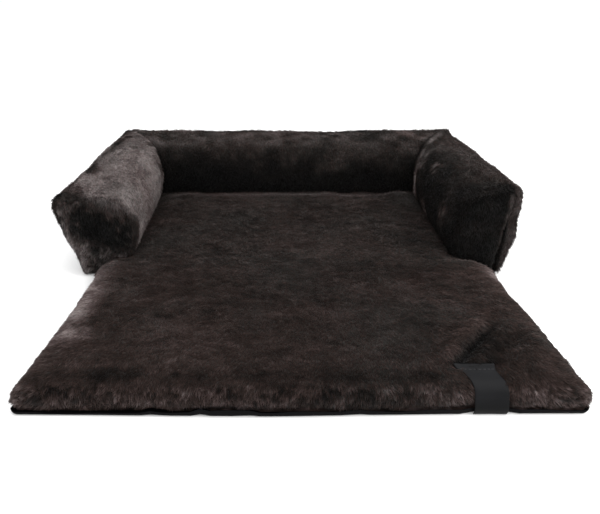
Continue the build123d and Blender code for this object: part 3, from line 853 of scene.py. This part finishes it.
def scatter(obj, per_cm2, keep):
    """Random places on a skin's four-sided faces, as many as their area times the density. A face is
    drawn with a chance of its area times keep, and a place in it is the blend of its four corners."""
    mesh = obj.data
    points, normals = points_of(obj)
    sizes = np.empty(len(mesh.polygons), np.int32)
    starts = np.empty(len(mesh.polygons), np.int32)
    corners = np.empty(len(mesh.loops), np.int32)
    mesh.polygons.foreach_get("loop_total", sizes)
    mesh.polygons.foreach_get("loop_start", starts)
    mesh.loops.foreach_get("vertex_index", corners)
    quads = corners[starts[sizes == 4][:, None] + np.arange(4)]
    a, b, c, d = (points[quads[:, i]] for i in range(4))
    area = np.linalg.norm(np.cross(c - a, d - b), axis=1) / 2
    chance = np.cumsum(area * keep((a + b + c + d) / 4, unit(normals[quads].sum(axis=1))))
    count = int(chance[-1] / 100 * per_cm2 * fur_share)
    chosen = quads[np.searchsorted(chance, random.random(count) * chance[-1])]
    u, v = random.random((2, count, 1))
    weights = np.stack([(1 - u) * (1 - v), u * (1 - v), u * v, (1 - u) * v], axis=1)
    return (points[chosen] * weights).sum(axis=1), unit((normals[chosen] * weights).sum(axis=1))


def grow(name, places, normals, lie, nap, length, lift, clump=1.6):
    """Locks of fur. Each is a slim three-sided spike, about 1.9 mm wide, from just under the skin: its
    direction is the nap's flow in the skin's plane times the cosine of its lift, plus the normal times
    the sine, and its tip leans with its neighbours' by clump. The OFBake map holds the tone across, and
    the way from root to tip up, in a lower band for cool fur and an upper one for warm fur."""
    count = len(places)
    tone, warm = nap
    flow = lie - normals * np.sum(lie * normals, axis=1, keepdims=True)
    flow = unit(flow + 0.16 * random.normal(size=(count, 3)))
    lift = np.clip(lift + random.normal(0, 7, count), 3, 80)[:, None] * math.pi / 180
    axis = unit(flow * np.cos(lift) + normals * np.sin(lift))
    length = (length * random.uniform(0.75, 1.2, count))[:, None]
    side = unit(np.cross(axis, normals + 1e-3))
    other = np.cross(axis, side)
    root = places - axis * 1.2
    turn = random.uniform(0, 2 * math.pi, count)[:, None] + np.arange(3) * 2 * math.pi / 3
    radius = 1.9 * random.uniform(0.75, 1.3, (count, 1, 1)) / 2
    ring = side[:, None] * np.cos(turn)[..., None] + other[:, None] * np.sin(turn)[..., None]
    feet = root[:, None] + ring * radius
    tip = root + axis * length
    tip += np.stack([clump * cloudy(places, (9, 9, 9), 301 + i) for i in range(3)], axis=1)
    points = np.concatenate([feet, tip[:, None]], axis=1).reshape(-1, 3)
    points[:, 2] = np.clip(points[:, 2], 0.7, HIGHEST)
    faces = np.array([(0, 1, 3), (1, 2, 3), (2, 0, 3), (2, 1, 0)])
    obj = mesh_from(name, points, (), (faces + np.arange(count)[:, None, None] * 4).reshape(-1, 3))
    tone = np.clip(tone * random.normal(1, 0.16, count), 0.01, 0.99)
    band = np.where(random.random(count) < np.clip(warm, 0.03, 0.97), 0.52, 0.02)
    u = np.stack([tone - 0.004, tone + 0.004, tone, tone], axis=1)
    v = np.stack([band, band, band + 0.03, band + 0.45], axis=1)
    corners = np.stack([u, v], axis=-1)[:, faces.ravel()]
    layer = obj.data.uv_layers.new(name="OFBake")
    layer.data.foreach_set("uv", corners.astype(np.float32).ravel())
    return obj


# Materials


class Graph:
    """Puts nodes in a material's or a group's tree. Their inputs take numbers or other nodes' outputs, and
    owner is what finish gives back."""

    def __init__(self, tree, owner):
        """Starts from an empty tree."""
        self.tree, self.owner = tree, owner
        tree.nodes.clear()

    def add(self, kind, values=None, **settings):
        """A node with these settings, and a value or a link for each of these inputs."""
        made = self.tree.nodes.new(kind)
        for name, value in settings.items():
            setattr(made, name, value)
        for key, value in (values or {}).items():
            if isinstance(value, bpy.types.NodeSocket):
                self.tree.links.new(value, made.inputs[key])
            else:
                made.inputs[key].default_value = value
        return made

    def place(self):
        """Object coordinates, in metres."""
        return self.add("ShaderNodeTexCoord").outputs["Object"]

    def parts(self, vector):
        """A vector's X, Y and Z."""
        return self.add("ShaderNodeSeparateXYZ", {0: vector}).outputs

    def math(self, operation, a, b=0.0):
        """The operation on a and b, or on a alone."""
        return self.add("ShaderNodeMath", {0: a, 1: b}, operation=operation).outputs[0]

    def times(self, a, b):
        """a times b."""
        return self.math("MULTIPLY", a, b)

    def wave(self, a):
        """The sine's size, whatever its sign."""
        return self.math("ABSOLUTE", self.math("SINE", a))

    def ramp(self, factor, stops):
        """A colour, or a grey from a number, read between its stops in a straight line."""
        made = self.add("ShaderNodeValToRGB", {0: factor})
        elements = made.color_ramp.elements
        while len(elements) < len(stops):
            elements.new(0.5)
        for element, (at, colour) in zip(elements, stops):
            element.position = at
            element.color = (*colour, 1) if hasattr(colour, "__len__") else (colour, colour, colour, 1)
        return made.outputs["Color"]

    def mix(self, factor, a, b, blend="MIX"):
        """Colour a, with b blended in by the factor."""
        made = self.add("ShaderNodeMix", {0: factor, 6: a, 7: b}, data_type="RGBA", blend_type=blend)
        return made.outputs[2]

    def group(self, tree, values):
        """The first output of a group with these values."""
        return self.add("ShaderNodeGroup", values, node_tree=tree).outputs[0]

    def finish(self, values, height=None, depth=0.0005, strength=1.0):
        """Adds the Principled shader, its bump where a height is given, and the output, and gives the
        material."""
        if height is not None:
            bump = self.add("ShaderNodeBump", {"Height": height, "Distance": depth, "Strength": strength})
            values = {**values, "Normal": bump.outputs[0]}
        shader = self.add("ShaderNodeBsdfPrincipled", values)
        self.add("ShaderNodeOutputMaterial", {"Surface": shader.outputs[0]})
        return self.owner


def new_group(name, inputs, label, kind):
    """An empty shader group. Its inputs are numbers, or vectors where the default is one, and it has one
    output. It returns the graph, the inputs and put, which finishes the group."""
    tree = bpy.data.node_groups.new(name, "ShaderNodeTree")
    graph = Graph(tree, tree)
    for title, default in inputs.items():
        sort = "NodeSocketVector" if isinstance(default, tuple) else "NodeSocketFloat"
        tree.interface.new_socket(title, in_out="INPUT", socket_type=sort).default_value = default
    tree.interface.new_socket(label, in_out="OUTPUT", socket_type=kind)

    def put(value):
        """Joins a value to the output and gives the tree."""
        graph.add("NodeGroupOutput", {label: value})
        return tree

    return graph, graph.add("NodeGroupInput").outputs, put


COOL_TONES = (
    (0.0, (0.0030, 0.0029, 0.0027)), (0.18, (0.0115, 0.0105, 0.0094)), (0.38, (0.043, 0.038, 0.0345)),
    (0.60, (0.108, 0.095, 0.093)), (0.80, (0.215, 0.192, 0.186)), (1.0, (0.36, 0.33, 0.32)),
)
WARM_TONES = (
    (0.0, (0.0037, 0.0028, 0.0027)), (0.18, (0.0146, 0.0100, 0.0085)), (0.38, (0.054, 0.0350, 0.0305)),
    (0.60, (0.127, 0.091, 0.088)), (0.80, (0.235, 0.187, 0.182)), (1.0, (0.38, 0.32, 0.31)),
)


def nap_colour_group():
    """The plush's colour. Tone goes up two ramps, from nearly black to light, and warm mixes the cool
    grey-brown one with the red-brown one. The mix is multiplied by a ramp on the height, which darkens
    it towards the root."""
    graph, given, put = new_group("nap colour", {"Tone": 0.4, "Warm": 0.5, "Height": 1.0}, "Color",
                                  "NodeSocketColor")
    cool, warm = (graph.ramp(given["Tone"], tones) for tones in (COOL_TONES, WARM_TONES))
    depth = graph.ramp(given["Height"], ((0.0, 0.30), (0.35, 0.62), (0.8, 1.0), (1.0, 1.0)))
    return put(graph.mix(1.0, graph.mix(given["Warm"], cool, warm), depth, "MULTIPLY"))


def fine_noise_group():
    """Noise at a scale per metre on object coordinates times the stretch, as a mask between 0 and 1."""
    graph, given, put = new_group("fine noise", {"Scale": 200.0, "Detail": 3.0, "Stretch": (1.0, 1.0, 1.0)},
                                  "Mask", "NodeSocketFloat")
    place = {0: graph.place(), 1: given["Stretch"]}
    stretched = graph.add("ShaderNodeVectorMath", place, operation="MULTIPLY").outputs[0]
    noise = {"Vector": stretched, "Scale": given["Scale"], "Detail": given["Detail"]}
    return put(graph.add("ShaderNodeTexNoise", noise).outputs[0])


def weave_group():
    """Plain weave: with u and v the places across and down times pi times the threads per metre, the
    height is half of the larger of |cos u| (1 + sin u sin v) and |cos v| (1 - sin u sin v), so that each
    thread is lifted where the other goes under."""
    graph, given, put = new_group("plain weave", {"Threads per metre": 1500.0, "Across": 0.0, "Down": 0.0},
                                  "Height", "NodeSocketFloat")
    pitch = graph.times(given["Threads per metre"], math.pi)
    u, v = (graph.times(given[way], pitch) for way in ("Across", "Down"))
    over = graph.times(graph.math("SINE", u), graph.math("SINE", v))
    warp = graph.times(graph.math("ABSOLUTE", graph.math("COSINE", u)), graph.math("ADD", over, 1.0))
    weft = graph.times(graph.math("ABSOLUTE", graph.math("COSINE", v)), graph.math("SUBTRACT", 1.0, over))
    return put(graph.times(graph.math("MAXIMUM", warp, weft), 0.5))


NAP_COLOUR = nap_colour_group()
FINE_NOISE = fine_noise_group()
WEAVE = weave_group()


def material(name):
    """A new material's graph."""
    made = bpy.data.materials.new(name)
    made.use_nodes = True
    return Graph(made.node_tree, made)


def fur_material():
    """The locks: tone across the map, root to tip up it, cool below the middle and warm above."""
    graph = material("plush locks")
    across, up, _ = graph.parts(graph.add("ShaderNodeUVMap", uv_map="OFBake").outputs[0])
    height = graph.math("DIVIDE", graph.math("MODULO", up, 0.5), 0.46)
    warm = graph.math("GREATER_THAN", up, 0.5)
    colour = graph.group(NAP_COLOUR, {"Tone": across, "Warm": warm, "Height": height})
    return graph.finish({"Base Color": colour, "Roughness": 0.8, "Specular IOR Level": 0.1,
                         "Sheen Weight": 0.04, "Sheen Roughness": 0.4})


def skin_material():
    """The plush between the locks: the painted nap, darkened as painted shade in the pile between the locks,
    with the pile's fine grain.
    """
    graph = material("plush ground")
    painted_nap = graph.add("ShaderNodeAttribute", attribute_name="nap").outputs["Color"]
    tone, warm, _ = graph.add("ShaderNodeSeparateColor", {0: painted_nap}).outputs
    pile = graph.group(FINE_NOISE, {"Scale": 420.0, "Detail": 3.0})
    tufts = graph.group(FINE_NOISE, {"Scale": 85.0, "Detail": 2.0, "Stretch": (1.0, 2.2, 1.5)})
    # Painted shade: the ground is darker where the pile's grain is low
    height = graph.ramp(graph.times(pile, tufts), ((0.12, 0.25), (0.42, 0.85)))
    colour = graph.group(NAP_COLOUR, {"Tone": tone, "Warm": warm, "Height": height})
    return graph.finish({"Base Color": colour, "Roughness": 0.9, "Specular IOR Level": 0.08,
                         "Sheen Weight": 0.03, "Sheen Roughness": 0.5}, pile, 0.002, 0.7)


def filling_material():
    """Foam and fibre: off-white, with open cells."""
    graph = material("filling")
    cells = graph.add("ShaderNodeTexVoronoi", {"Vector": graph.place(), "Scale": 260.0}).outputs["Distance"]
    wisps = graph.group(FINE_NOISE, {"Scale": 40.0, "Detail": 4.0})
    colour = graph.ramp(wisps, ((0.3, (0.62, 0.60, 0.54)), (0.7, (0.80, 0.78, 0.72))))
    return graph.finish({"Base Color": colour, "Roughness": 0.95, "Specular IOR Level": 0.1},
                        cells, 0.001, 0.5)


def base_cloth_material():
    """Smooth black coated cloth with a fine weave, duller where it is rubbed."""
    graph = material("base cloth")
    x, y, z = graph.parts(graph.place())
    weave = graph.group(WEAVE, {"Threads per metre": 900.0, "Across": x, "Down": graph.math("ADD", y, z)})
    rubbed = graph.group(FINE_NOISE, {"Scale": 14.0, "Detail": 3.0})
    colour = graph.ramp(rubbed, ((0.3, (0.0014, 0.0014, 0.0018)), (0.7, (0.0034, 0.0034, 0.0040))))
    return graph.finish({"Base Color": colour, "Roughness": graph.ramp(rubbed, ((0.3, 0.52), (0.7, 0.66))),
                         "Specular IOR Level": 0.03}, weave, 0.0002, 0.5)


def strap_material():
    """Black leather: small pebbles with creases between them, the creases painted darker as shade, long soft
    folds, and a duller, slightly lighter wear where the grain is rubbed. Painted shade makes it darker where
    it turns down over the mat's edge, towards the floor."""
    graph = material("strap leather")
    place = graph.place()
    pebbles = graph.add("ShaderNodeTexVoronoi", {"Vector": place, "Scale": 950.0}, feature="DISTANCE_TO_EDGE")
    creases = graph.ramp(pebbles.outputs["Distance"], ((0.0, 0.0), (0.22, 1.0)))
    folds = graph.group(FINE_NOISE, {"Scale": 60.0, "Detail": 4.0, "Stretch": (0.4, 1.6, 1.6)})
    rubbed = graph.group(FINE_NOISE, {"Scale": 28.0, "Detail": 5.0})
    colour = graph.ramp(rubbed, ((0.3, (0.0036, 0.0037, 0.0045)), (0.72, (0.0074, 0.0076, 0.0090))))
    # Painted shade in the creases between the pebbles
    colour = graph.mix(0.35, colour, creases, "MULTIPLY")
    # Painted shade: about a third as bright up to 15 mm, full from 31 mm, where the strap turns down over the
    # mat's edge
    painted_shade_turned_down = graph.ramp(graph.times(graph.parts(place)[2], 20.0), ((0.30, 0.35), (0.62, 1.0)))
    colour = graph.mix(1.0, colour, painted_shade_turned_down, "MULTIPLY")
    height = graph.math("ADD", graph.times(creases, 0.3), folds)
    return graph.finish({"Base Color": colour, "Roughness": graph.ramp(rubbed, ((0.3, 0.50), (0.7, 0.64))),
                         "Specular IOR Level": 0.11}, height, 0.0004, 0.5)


def thread_material():
    """Waxed black thread with the twist of its plies, painted darker as shade in the grooves between them."""
    graph = material("sewing thread")
    x, y, z = graph.parts(graph.place())
    twist = graph.wave(graph.times(graph.math("ADD", x, graph.math("ADD", y, z)), 4200.0))
    # Painted shade: the grooves between the plies are darker
    colour = graph.ramp(twist, ((0.0, (0.004, 0.004, 0.005)), (1.0, (0.013, 0.013, 0.015))))
    return graph.finish({"Base Color": colour, "Roughness": 0.5}, twist, 0.0002, 0.8)


def tape_material():
    """Zip tape: a close twill, its valleys painted darker as shade."""
    graph = material("zip tape twill")
    x, y, z = graph.parts(graph.place())
    slant = graph.math("ADD", graph.math("ADD", x, y), graph.math("PINGPONG", z, 0.0022))
    twill = graph.wave(graph.times(slant, 5200.0))
    # Painted shade: the twill's valleys are darker
    colour = graph.ramp(twill, ((0.0, (0.006, 0.006, 0.006)), (1.0, (0.020, 0.019, 0.019))))
    return graph.finish({"Base Color": colour, "Roughness": 0.8, "Sheen Weight": 0.1}, twill, 0.0002, 0.7)


def teeth_material():
    """Moulded black plastic, satin, with faint flow marks."""
    graph = material("zip teeth plastic")
    flow = graph.group(FINE_NOISE, {"Scale": 500.0, "Detail": 2.0})
    colour = graph.ramp(flow, ((0.3, (0.010, 0.010, 0.011)), (0.7, (0.018, 0.018, 0.019))))
    satin = graph.ramp(flow, ((0.2, 0.30), (0.8, 0.44)))
    return graph.finish({"Base Color": colour, "Roughness": satin}, flow, 0.0001, 0.3)


def zip_metal_material():
    """Painted black zip metal, rubbed to grey alloy in fine scratches."""
    graph = material("zip metal")
    scratches = graph.group(FINE_NOISE, {"Scale": 380.0, "Detail": 6.0, "Stretch": (1.0, 1.0, 5.0)})
    worn = graph.ramp(scratches, ((0.62, 0.0), (0.70, 1.0)))
    colour = graph.mix(worn, (0.020, 0.020, 0.021, 1), (0.30, 0.29, 0.28, 1))
    polish = graph.ramp(scratches, ((0.3, 0.28), (0.8, 0.46)))
    return graph.finish({"Base Color": colour, "Metallic": graph.ramp(worn, ((0.0, 0.6), (1.0, 1.0))),
                         "Roughness": polish}, scratches, 0.0001, 0.2)


def floor_material():
    """A matt, nearly white floor with the faintest clouding."""
    graph = material("studio floor")
    shade = graph.group(FINE_NOISE, {"Scale": 3.0, "Detail": 2.0})
    colour = graph.ramp(shade, ((0.0, (0.925, 0.925, 0.925)), (1.0, (0.945, 0.945, 0.945))))
    return graph.finish({"Base Color": colour, "Roughness": 0.9, "Specular IOR Level": 0.1})


FUR = fur_material()
GROUND = skin_material()
FILLING = filling_material()
BASE_CLOTH = base_cloth_material()
STRAP_LEATHER = strap_material()
THREAD = thread_material()
TAPE = tape_material()
TEETH = teeth_material()
ZIP_METAL = zip_metal_material()


def dress(obj, finish, body="bed"):
    """Gives a piece its material and slot, and sets it on its body; with body None, for pieces that span both
    bodies, its transform is applied to its mesh instead.
    """
    obj.data.materials.append(finish)
    if body:
        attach(obj, body)
    else:
        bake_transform(obj)
    return obj


# The skins, stuffed


def bolster_places(p, kind):
    """How far out on its bolster each point is, and how far before the mitre. kind is -1 for the left arm,
    1 for the right arm and "back" for the back."""
    if kind == "back":
        out = p[:, 1] - REAR_Y
        return out, HALF_WIDTH + out - np.abs(p[:, 0])
    out = kind * p[:, 0] - HALF_WIDTH
    return out, REAR_Y + out - p[:, 1]


def swell(obj, held, frames=20, most=5.5):
    """Stuffs a skin: Cloth with pressure and no gravity for some frames, pinned where held is 1. No point
    keeps more than most of the move, and the result is written to the mesh."""
    before, _ = points_of(obj)
    pins = obj.vertex_groups.new(name="held")
    for level in range(1, 11):
        pins.add(np.nonzero(np.round(held * 10) == level)[0].tolist(), level / 10, "REPLACE")
    cloth = obj.modifiers.new("swell", "CLOTH")
    cloth.settings.vertex_group_mass = "held"
    cloth.settings.use_pressure = True
    cloth.settings.uniform_pressure_force = 4.0
    cloth.settings.effector_weights.gravity = 0.0
    cloth.settings.mass = 0.3
    cloth.settings.quality = 4
    cloth.collision_settings.use_collision = False
    cloth.point_cache.frame_start, cloth.point_cache.frame_end = 1, frames
    for step in range(1, frames + 1):
        bpy.context.scene.frame_set(step)
    stuffed_mesh = obj.evaluated_get(bpy.context.evaluated_depsgraph_get()).data
    after = np.empty(len(stuffed_mesh.vertices) * 3, np.float32)
    stuffed_mesh.vertices.foreach_get("co", after)
    obj.modifiers.remove(cloth)
    obj.vertex_groups.remove(pins)
    bpy.context.scene.frame_set(1)
    move = after.reshape(-1, 3) / MM - before
    reach = np.linalg.norm(move, axis=1, keepdims=True).astype(float)
    move *= (np.minimum(reach, most) / np.maximum(reach, 1e-6)) * (1 - held[:, None])
    obj.data.vertices.foreach_set("co", ((before + move) * MM).astype(np.float32).ravel())
    obj.data.update()


def stuffed(obj, kind):
    """A bolster's skin, pinned at its foot and its mitres, an arm's also round its end panel."""
    p, _ = points_of(obj)
    held = np.maximum(ease(p[:, 2], 66, 50), ease(bolster_places(p, kind)[1], 16, 6))
    if kind != "back":
        held = np.maximum(held, ease(p[:, 1], ARM_FRONT + 24, ARM_FRONT + 10))
    swell(obj, held)
    return obj


mat_skin = painted(make_mat("mat_plush", 4.0, 7.5), mat_tone_and_painted_light)
left_arm = painted(stuffed(make_arm("left_arm_plush", -1), -1), left_arm_tone_and_painted_light)
right_arm = painted(stuffed(make_arm("right_arm_plush", 1), 1), right_arm_tone_and_painted_light)
left_panel = painted(make_panel("left_arm_end", -1), left_panel_tone_and_painted_light)
right_panel = painted(make_panel("right_arm_end", 1), right_panel_tone_and_painted_light)
back = painted(stuffed(make_back("back_plush"), "back"), back_tone_and_painted_light)


# The fur on them

# Past the part's edge on every side
FAR = 999
# The fur that bends at the flap's fold lies between these
BEND_FRONT = FOLD_Y - 36
BEND_REAR = FOLD_Y + 27


def on_mat(p, n):
    """The mat's fur keeps off the strap, off the mat's underside, from under the bolsters and off the rear
    zip, and ends at its hem above the base cloth."""
    x, y, z = p[:, 0], p[:, 1], p[:, 2]
    inside = np.minimum(MAT_SIDE - np.abs(x), MAT_REAR - y)
    beside_zip = (y < MAT_REAR - 20) | (np.abs(x) > 404)
    open_seat = np.maximum(ease(y, -28, -46), ease(inside, 84, 100)) + 0.7 * ease(inside, 9, 4) * beside_zip
    hem = 6 + 1.5 * cloudy(p, 14, 33)
    hem += ease(y, -395, -428) * (8 + 3 * cloudy(p, 52, 32) + 5 * hump(x, -116, 34) - 1.2 * low_lip(x))
    return open_seat * (n[:, 2] > -0.75) * (z > hem) * (1 - under_strap(x, np.maximum(y, MAT_FRONT + 2), 1.5))


def mat_lie(p):
    """The mat's fur lies towards the front, wanders, and turns outwards and down over the edges."""
    left, right = side_depth(p)
    angle = 0.55 * rough(p, (120, 120, 80), 401, 2) + 0.4 * cloudy(p, (26, 18, 18), 405)
    out = ease(right, 70, 5) * ease(p[:, 1], -40, -80) - ease(left, 70, 5) * ease(p[:, 1], -40, -80)
    part, side = crease_places(p[:, 0], p[:, 1])
    out = out + 0.6 * hump(side, -14, 18) * ease(part, -0.1, 0.1) * ease(part, 1.0, 0.7)
    fall = -0.45 + 0.4 * ease(p[:, 2], 20, 9)
    return np.stack([np.sin(angle) + 1.5 * out, -np.cos(angle), fall], axis=1)


def mat_fur(name, low, high, low_x=-FAR, high_x=FAR, body="bed", density=26):
    """The mat's fur between two places along it and across it."""
    def keep(p, n):
        """Where the mat's fur grows, within the four limits."""
        here = (p[:, 1] >= low) & (p[:, 1] < high) & (p[:, 0] >= low_x) & (p[:, 0] < high_x)
        return here * on_mat(p, n)

    p, n = scatter(mat_skin, density, keep)
    left, right = side_depth(p)
    front = ease(p[:, 1] - MAT_FRONT, 42, 10)
    sides = ease(np.minimum(left, right), 42, 10) * ease(p[:, 1], -40, -80)
    lift = 17 + 14 * front + 5 * sides + 7 * cloudy(p, (30, 18, 18), 411) + 26 * ease(p[:, 2], 24, 10) * front
    length = 11.0 - 1.6 * front - 1.4 * sides + 1.2 * cloudy(p, (40, 30, 30), 412) - 2 * ease(right, 60, 0)
    fur = grow(name, p, n, mat_lie(p), mat_tone_and_painted_light(p, n), length, lift, 1.6 + 0.8 * front)
    return dress(fur, FUR, body)


mat_fur("seat_fur_rear", 120, FAR)
mat_fur("seat_fur_front", BEND_REAR, 120)
mat_fur("fold_fur", BEND_FRONT, BEND_REAR, body=None)
mat_fur("flap_fur_left", -FAR, BEND_FRONT, high_x=-150, body="flap", density=36)
mat_fur("flap_fur_middle", -FAR, BEND_FRONT, -150, 150, body="flap", density=36)
mat_fur("flap_fur_right", -FAR, BEND_FRONT, low_x=150, body="flap", density=36)


def on_bolster(p, n, kind, along_zip, strip, foot):
    """A bolster's fur keeps off its underside, its foot, its mitres and the strip along its zip."""
    out, mitre = bolster_places(p, kind)
    bare = (out > STRIP_OUT) & (p[:, 2] < STRIP_UP) & (along_zip > strip[0]) & (along_zip < strip[1])
    return ~bare * (n[:, 2] > -0.72) * (p[:, 2] > foot) * (mitre > 2)


def arm_fur(name, skin, side, nap):
    """An arm's fur, which reaches lower in front of the mat's fold. It lies forwards and inwards."""
    def keep(p, n):
        """Where the arm's fur grows: from 30 mm up, and ahead of y 0 from 8 mm up."""
        foot = 30 - 22 * (p[:, 1] < 0)
        return on_bolster(p, n, side, p[:, 1], ARM_STRIP, foot)

    p, n = scatter(skin, 26, keep)
    wander = 0.6 * cloudy(p, (60, 60, 60), 421) + 0.35 * cloudy(p, (22, 22, 22), 422)
    inwards = -side * (0.55 + wander) * (n[:, 2] > -0.2)
    lie = np.stack([inwards, -0.8 + 0.5 * wander, -0.5 + 0 * wander], axis=1)
    lift = 15 + 7 * cloudy(p, (26, 26, 26), 423) + 8 * ease(p[:, 1], 0, -30)
    length = 10.0 + 1.2 * cloudy(p, (40, 30, 30), 424)
    return dress(grow(name, p, n, lie, nap(p, n), length, lift), FUR)


arm_fur("left_arm_fur", left_arm, -1, left_arm_tone_and_painted_light)
arm_fur("right_arm_fur", right_arm, 1, right_arm_tone_and_painted_light)


def panel_fur(name, skin, nap):
    """An end panel's fur. It lies down and wanders, which is what mottles it."""
    p, n = scatter(skin, 28, lambda p, n: (n[:, 1] < 0.35) * (p[:, 1] < ARM_FRONT + 5.0))
    wander = 0.9 * cloudy(p, (30, 30, 30), 431)
    lie = np.stack([wander, -0.3 + 0 * wander, -0.9 + 0.6 * cloudy(p, (26, 26, 26), 432)], axis=1)
    lift = 24 + 12 * cloudy(p, (20, 20, 20), 433)
    return dress(grow(name, p, n, lie, nap(p, n), 10.0, lift), FUR)


panel_fur("left_arm_end_fur", left_panel, left_panel_tone_and_painted_light)
panel_fur("right_arm_end_fur", right_panel, right_panel_tone_and_painted_light)


def back_fur(name, low_x, high_x):
    """The back's fur between two places across, thinner at the rear. It lies down both faces."""
    def keep(p, n):
        """Where the back's fur grows, within the two limits: three quarters as much at the rear."""
        here = (p[:, 0] >= low_x) & (p[:, 0] < high_x)
        return here * on_bolster(p, n, "back", p[:, 0], BACK_STRIP, 30) * np.where(n[:, 1] > 0.3, 0.75, 1)

    p, n = scatter(back, 25, keep)
    wander = 0.7 * cloudy(p, (70, 50, 50), 441) + 0.3 * cloudy(p, (22, 22, 22), 442)
    lie = np.stack([wander, -0.35 + 0.5 * n[:, 1], -0.7 + 0 * wander], axis=1)
    lift = 15 + 7 * cloudy(p, (26, 26, 26), 443)
    length = 10.0 + 1.2 * cloudy(p, (40, 30, 30), 444)
    return dress(grow(name, p, n, lie, back_tone_and_painted_light(p, n), length, lift), FUR)


back_fur("back_fur_left", -FAR, 0)
back_fur("back_fur_right", 0, FAR)


# What each piece stands for

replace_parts(dress(mat_skin, GROUND, None), "seat_fur_cover", "flap_fur_cover")
for skin, node in ((left_arm, "left_arm_fur_cover"), (right_arm, "right_arm_fur_cover"),
                   (left_panel, "left_arm_end_panel"), (right_panel, "right_arm_end_panel"),
                   (back, "back_fur_cover")):
    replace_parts(dress(skin, GROUND), node)

mat_filling = dress(make_mat("mat_filling", 8.0, 12.0, tuck=8.0, drop=15.0), FILLING, None)
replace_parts(mat_filling, "seat_pad", "flap_pad")
for filling, node in ((make_arm("left_arm_filling", -1, FILLING_INSET), "left_arm_cushion"),
                      (make_arm("right_arm_filling", 1, FILLING_INSET), "right_arm_cushion"),
                      (make_back("back_filling", FILLING_INSET), "back_cushion")):
    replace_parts(dress(filling, FILLING), node)

base_cloth = dress(make_base_cloth("base_cloth"), BASE_CLOTH, None)
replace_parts(base_cloth, "seat_base_fabric", "flap_base_fabric")

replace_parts(dress(make_strap("strap_band"), STRAP_LEATHER, "flap"), "strap")
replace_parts(dress(make_stitches("strap_thread"), THREAD, "flap"), "strap_stitches")

for zipped in ("left_arm", "right_arm", "back", "mat"):
    tape = dress(make_tape(zipped + "_tape_strips", zipped + "_zip_tape"), TAPE)
    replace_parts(tape, zipped + "_zip_tape")
    for part in ("teeth", "stops", "slider", "pull"):
        for place in frame["nodes"][f"{zipped}_zip_{part}"].material_slots:
            place.material = TEETH if part == "teeth" else ZIP_METAL


# The studio

# A floor that reaches 30 m on every side
FLOOR_CORNERS = np.array([(-1, -1, 0), (1, -1, 0), (1, 1, 0), (-1, 1, 0)]) * 30000.0
floor = mesh_from("studio_floor", FLOOR_CORNERS, np.array([(0, 1, 2, 3)]))
floor.data.materials.append(floor_material())


def light(name, place, target, size, power, colour=(1, 1, 1)):
    """A square soft light that looks at its target."""
    lamp = bpy.data.lights.new(name, "AREA")
    lamp.shape, lamp.size, lamp.energy, lamp.color = "SQUARE", size, power, colour
    obj = bpy.data.objects.new(name, lamp)
    away = np.array(place) - np.array(target)
    obj.location = place
    obj.rotation_euler = (math.atan2(math.hypot(away[0], away[1]), away[2]), 0,
                          math.atan2(away[1], away[0]) + math.pi / 2)
    bpy.context.scene.collection.objects.link(obj)


light("key", (1.9, -0.5, 1.9), (0.0, 0.0, 0.1), 1.3, 42, (1.0, 0.985, 0.97))
light("top", (-0.2, 0.3, 2.6), (0.0, 0.0, 0.0), 2.4, 34)
light("fill", (-1.6, -2.2, 1.5), (0.0, 0.0, 0.1), 1.6, 10)

scene = bpy.context.scene
scene.world = scene.world or bpy.data.worlds.new("studio")
scene.world.use_nodes = True
surround = scene.world.node_tree.nodes["Background"]
surround.inputs["Color"].default_value = (1, 1, 1, 1)
surround.inputs["Strength"].default_value = 1.1
scene.view_settings.view_transform = "Standard"

# The camera stands where the photograph was solved to be taken from, and its picture is 600 wide
camera = bpy.data.objects.new("camera", bpy.data.cameras.new("camera"))
camera.location = (-0.0455, -0.9935, 0.603)
camera.rotation_euler = (math.radians(59.63), 0, 0)
camera.data.lens = 30
camera.data.sensor_width = 36
camera.data.shift_x = 29 / 600
scene.collection.objects.link(camera)
scene.camera = camera
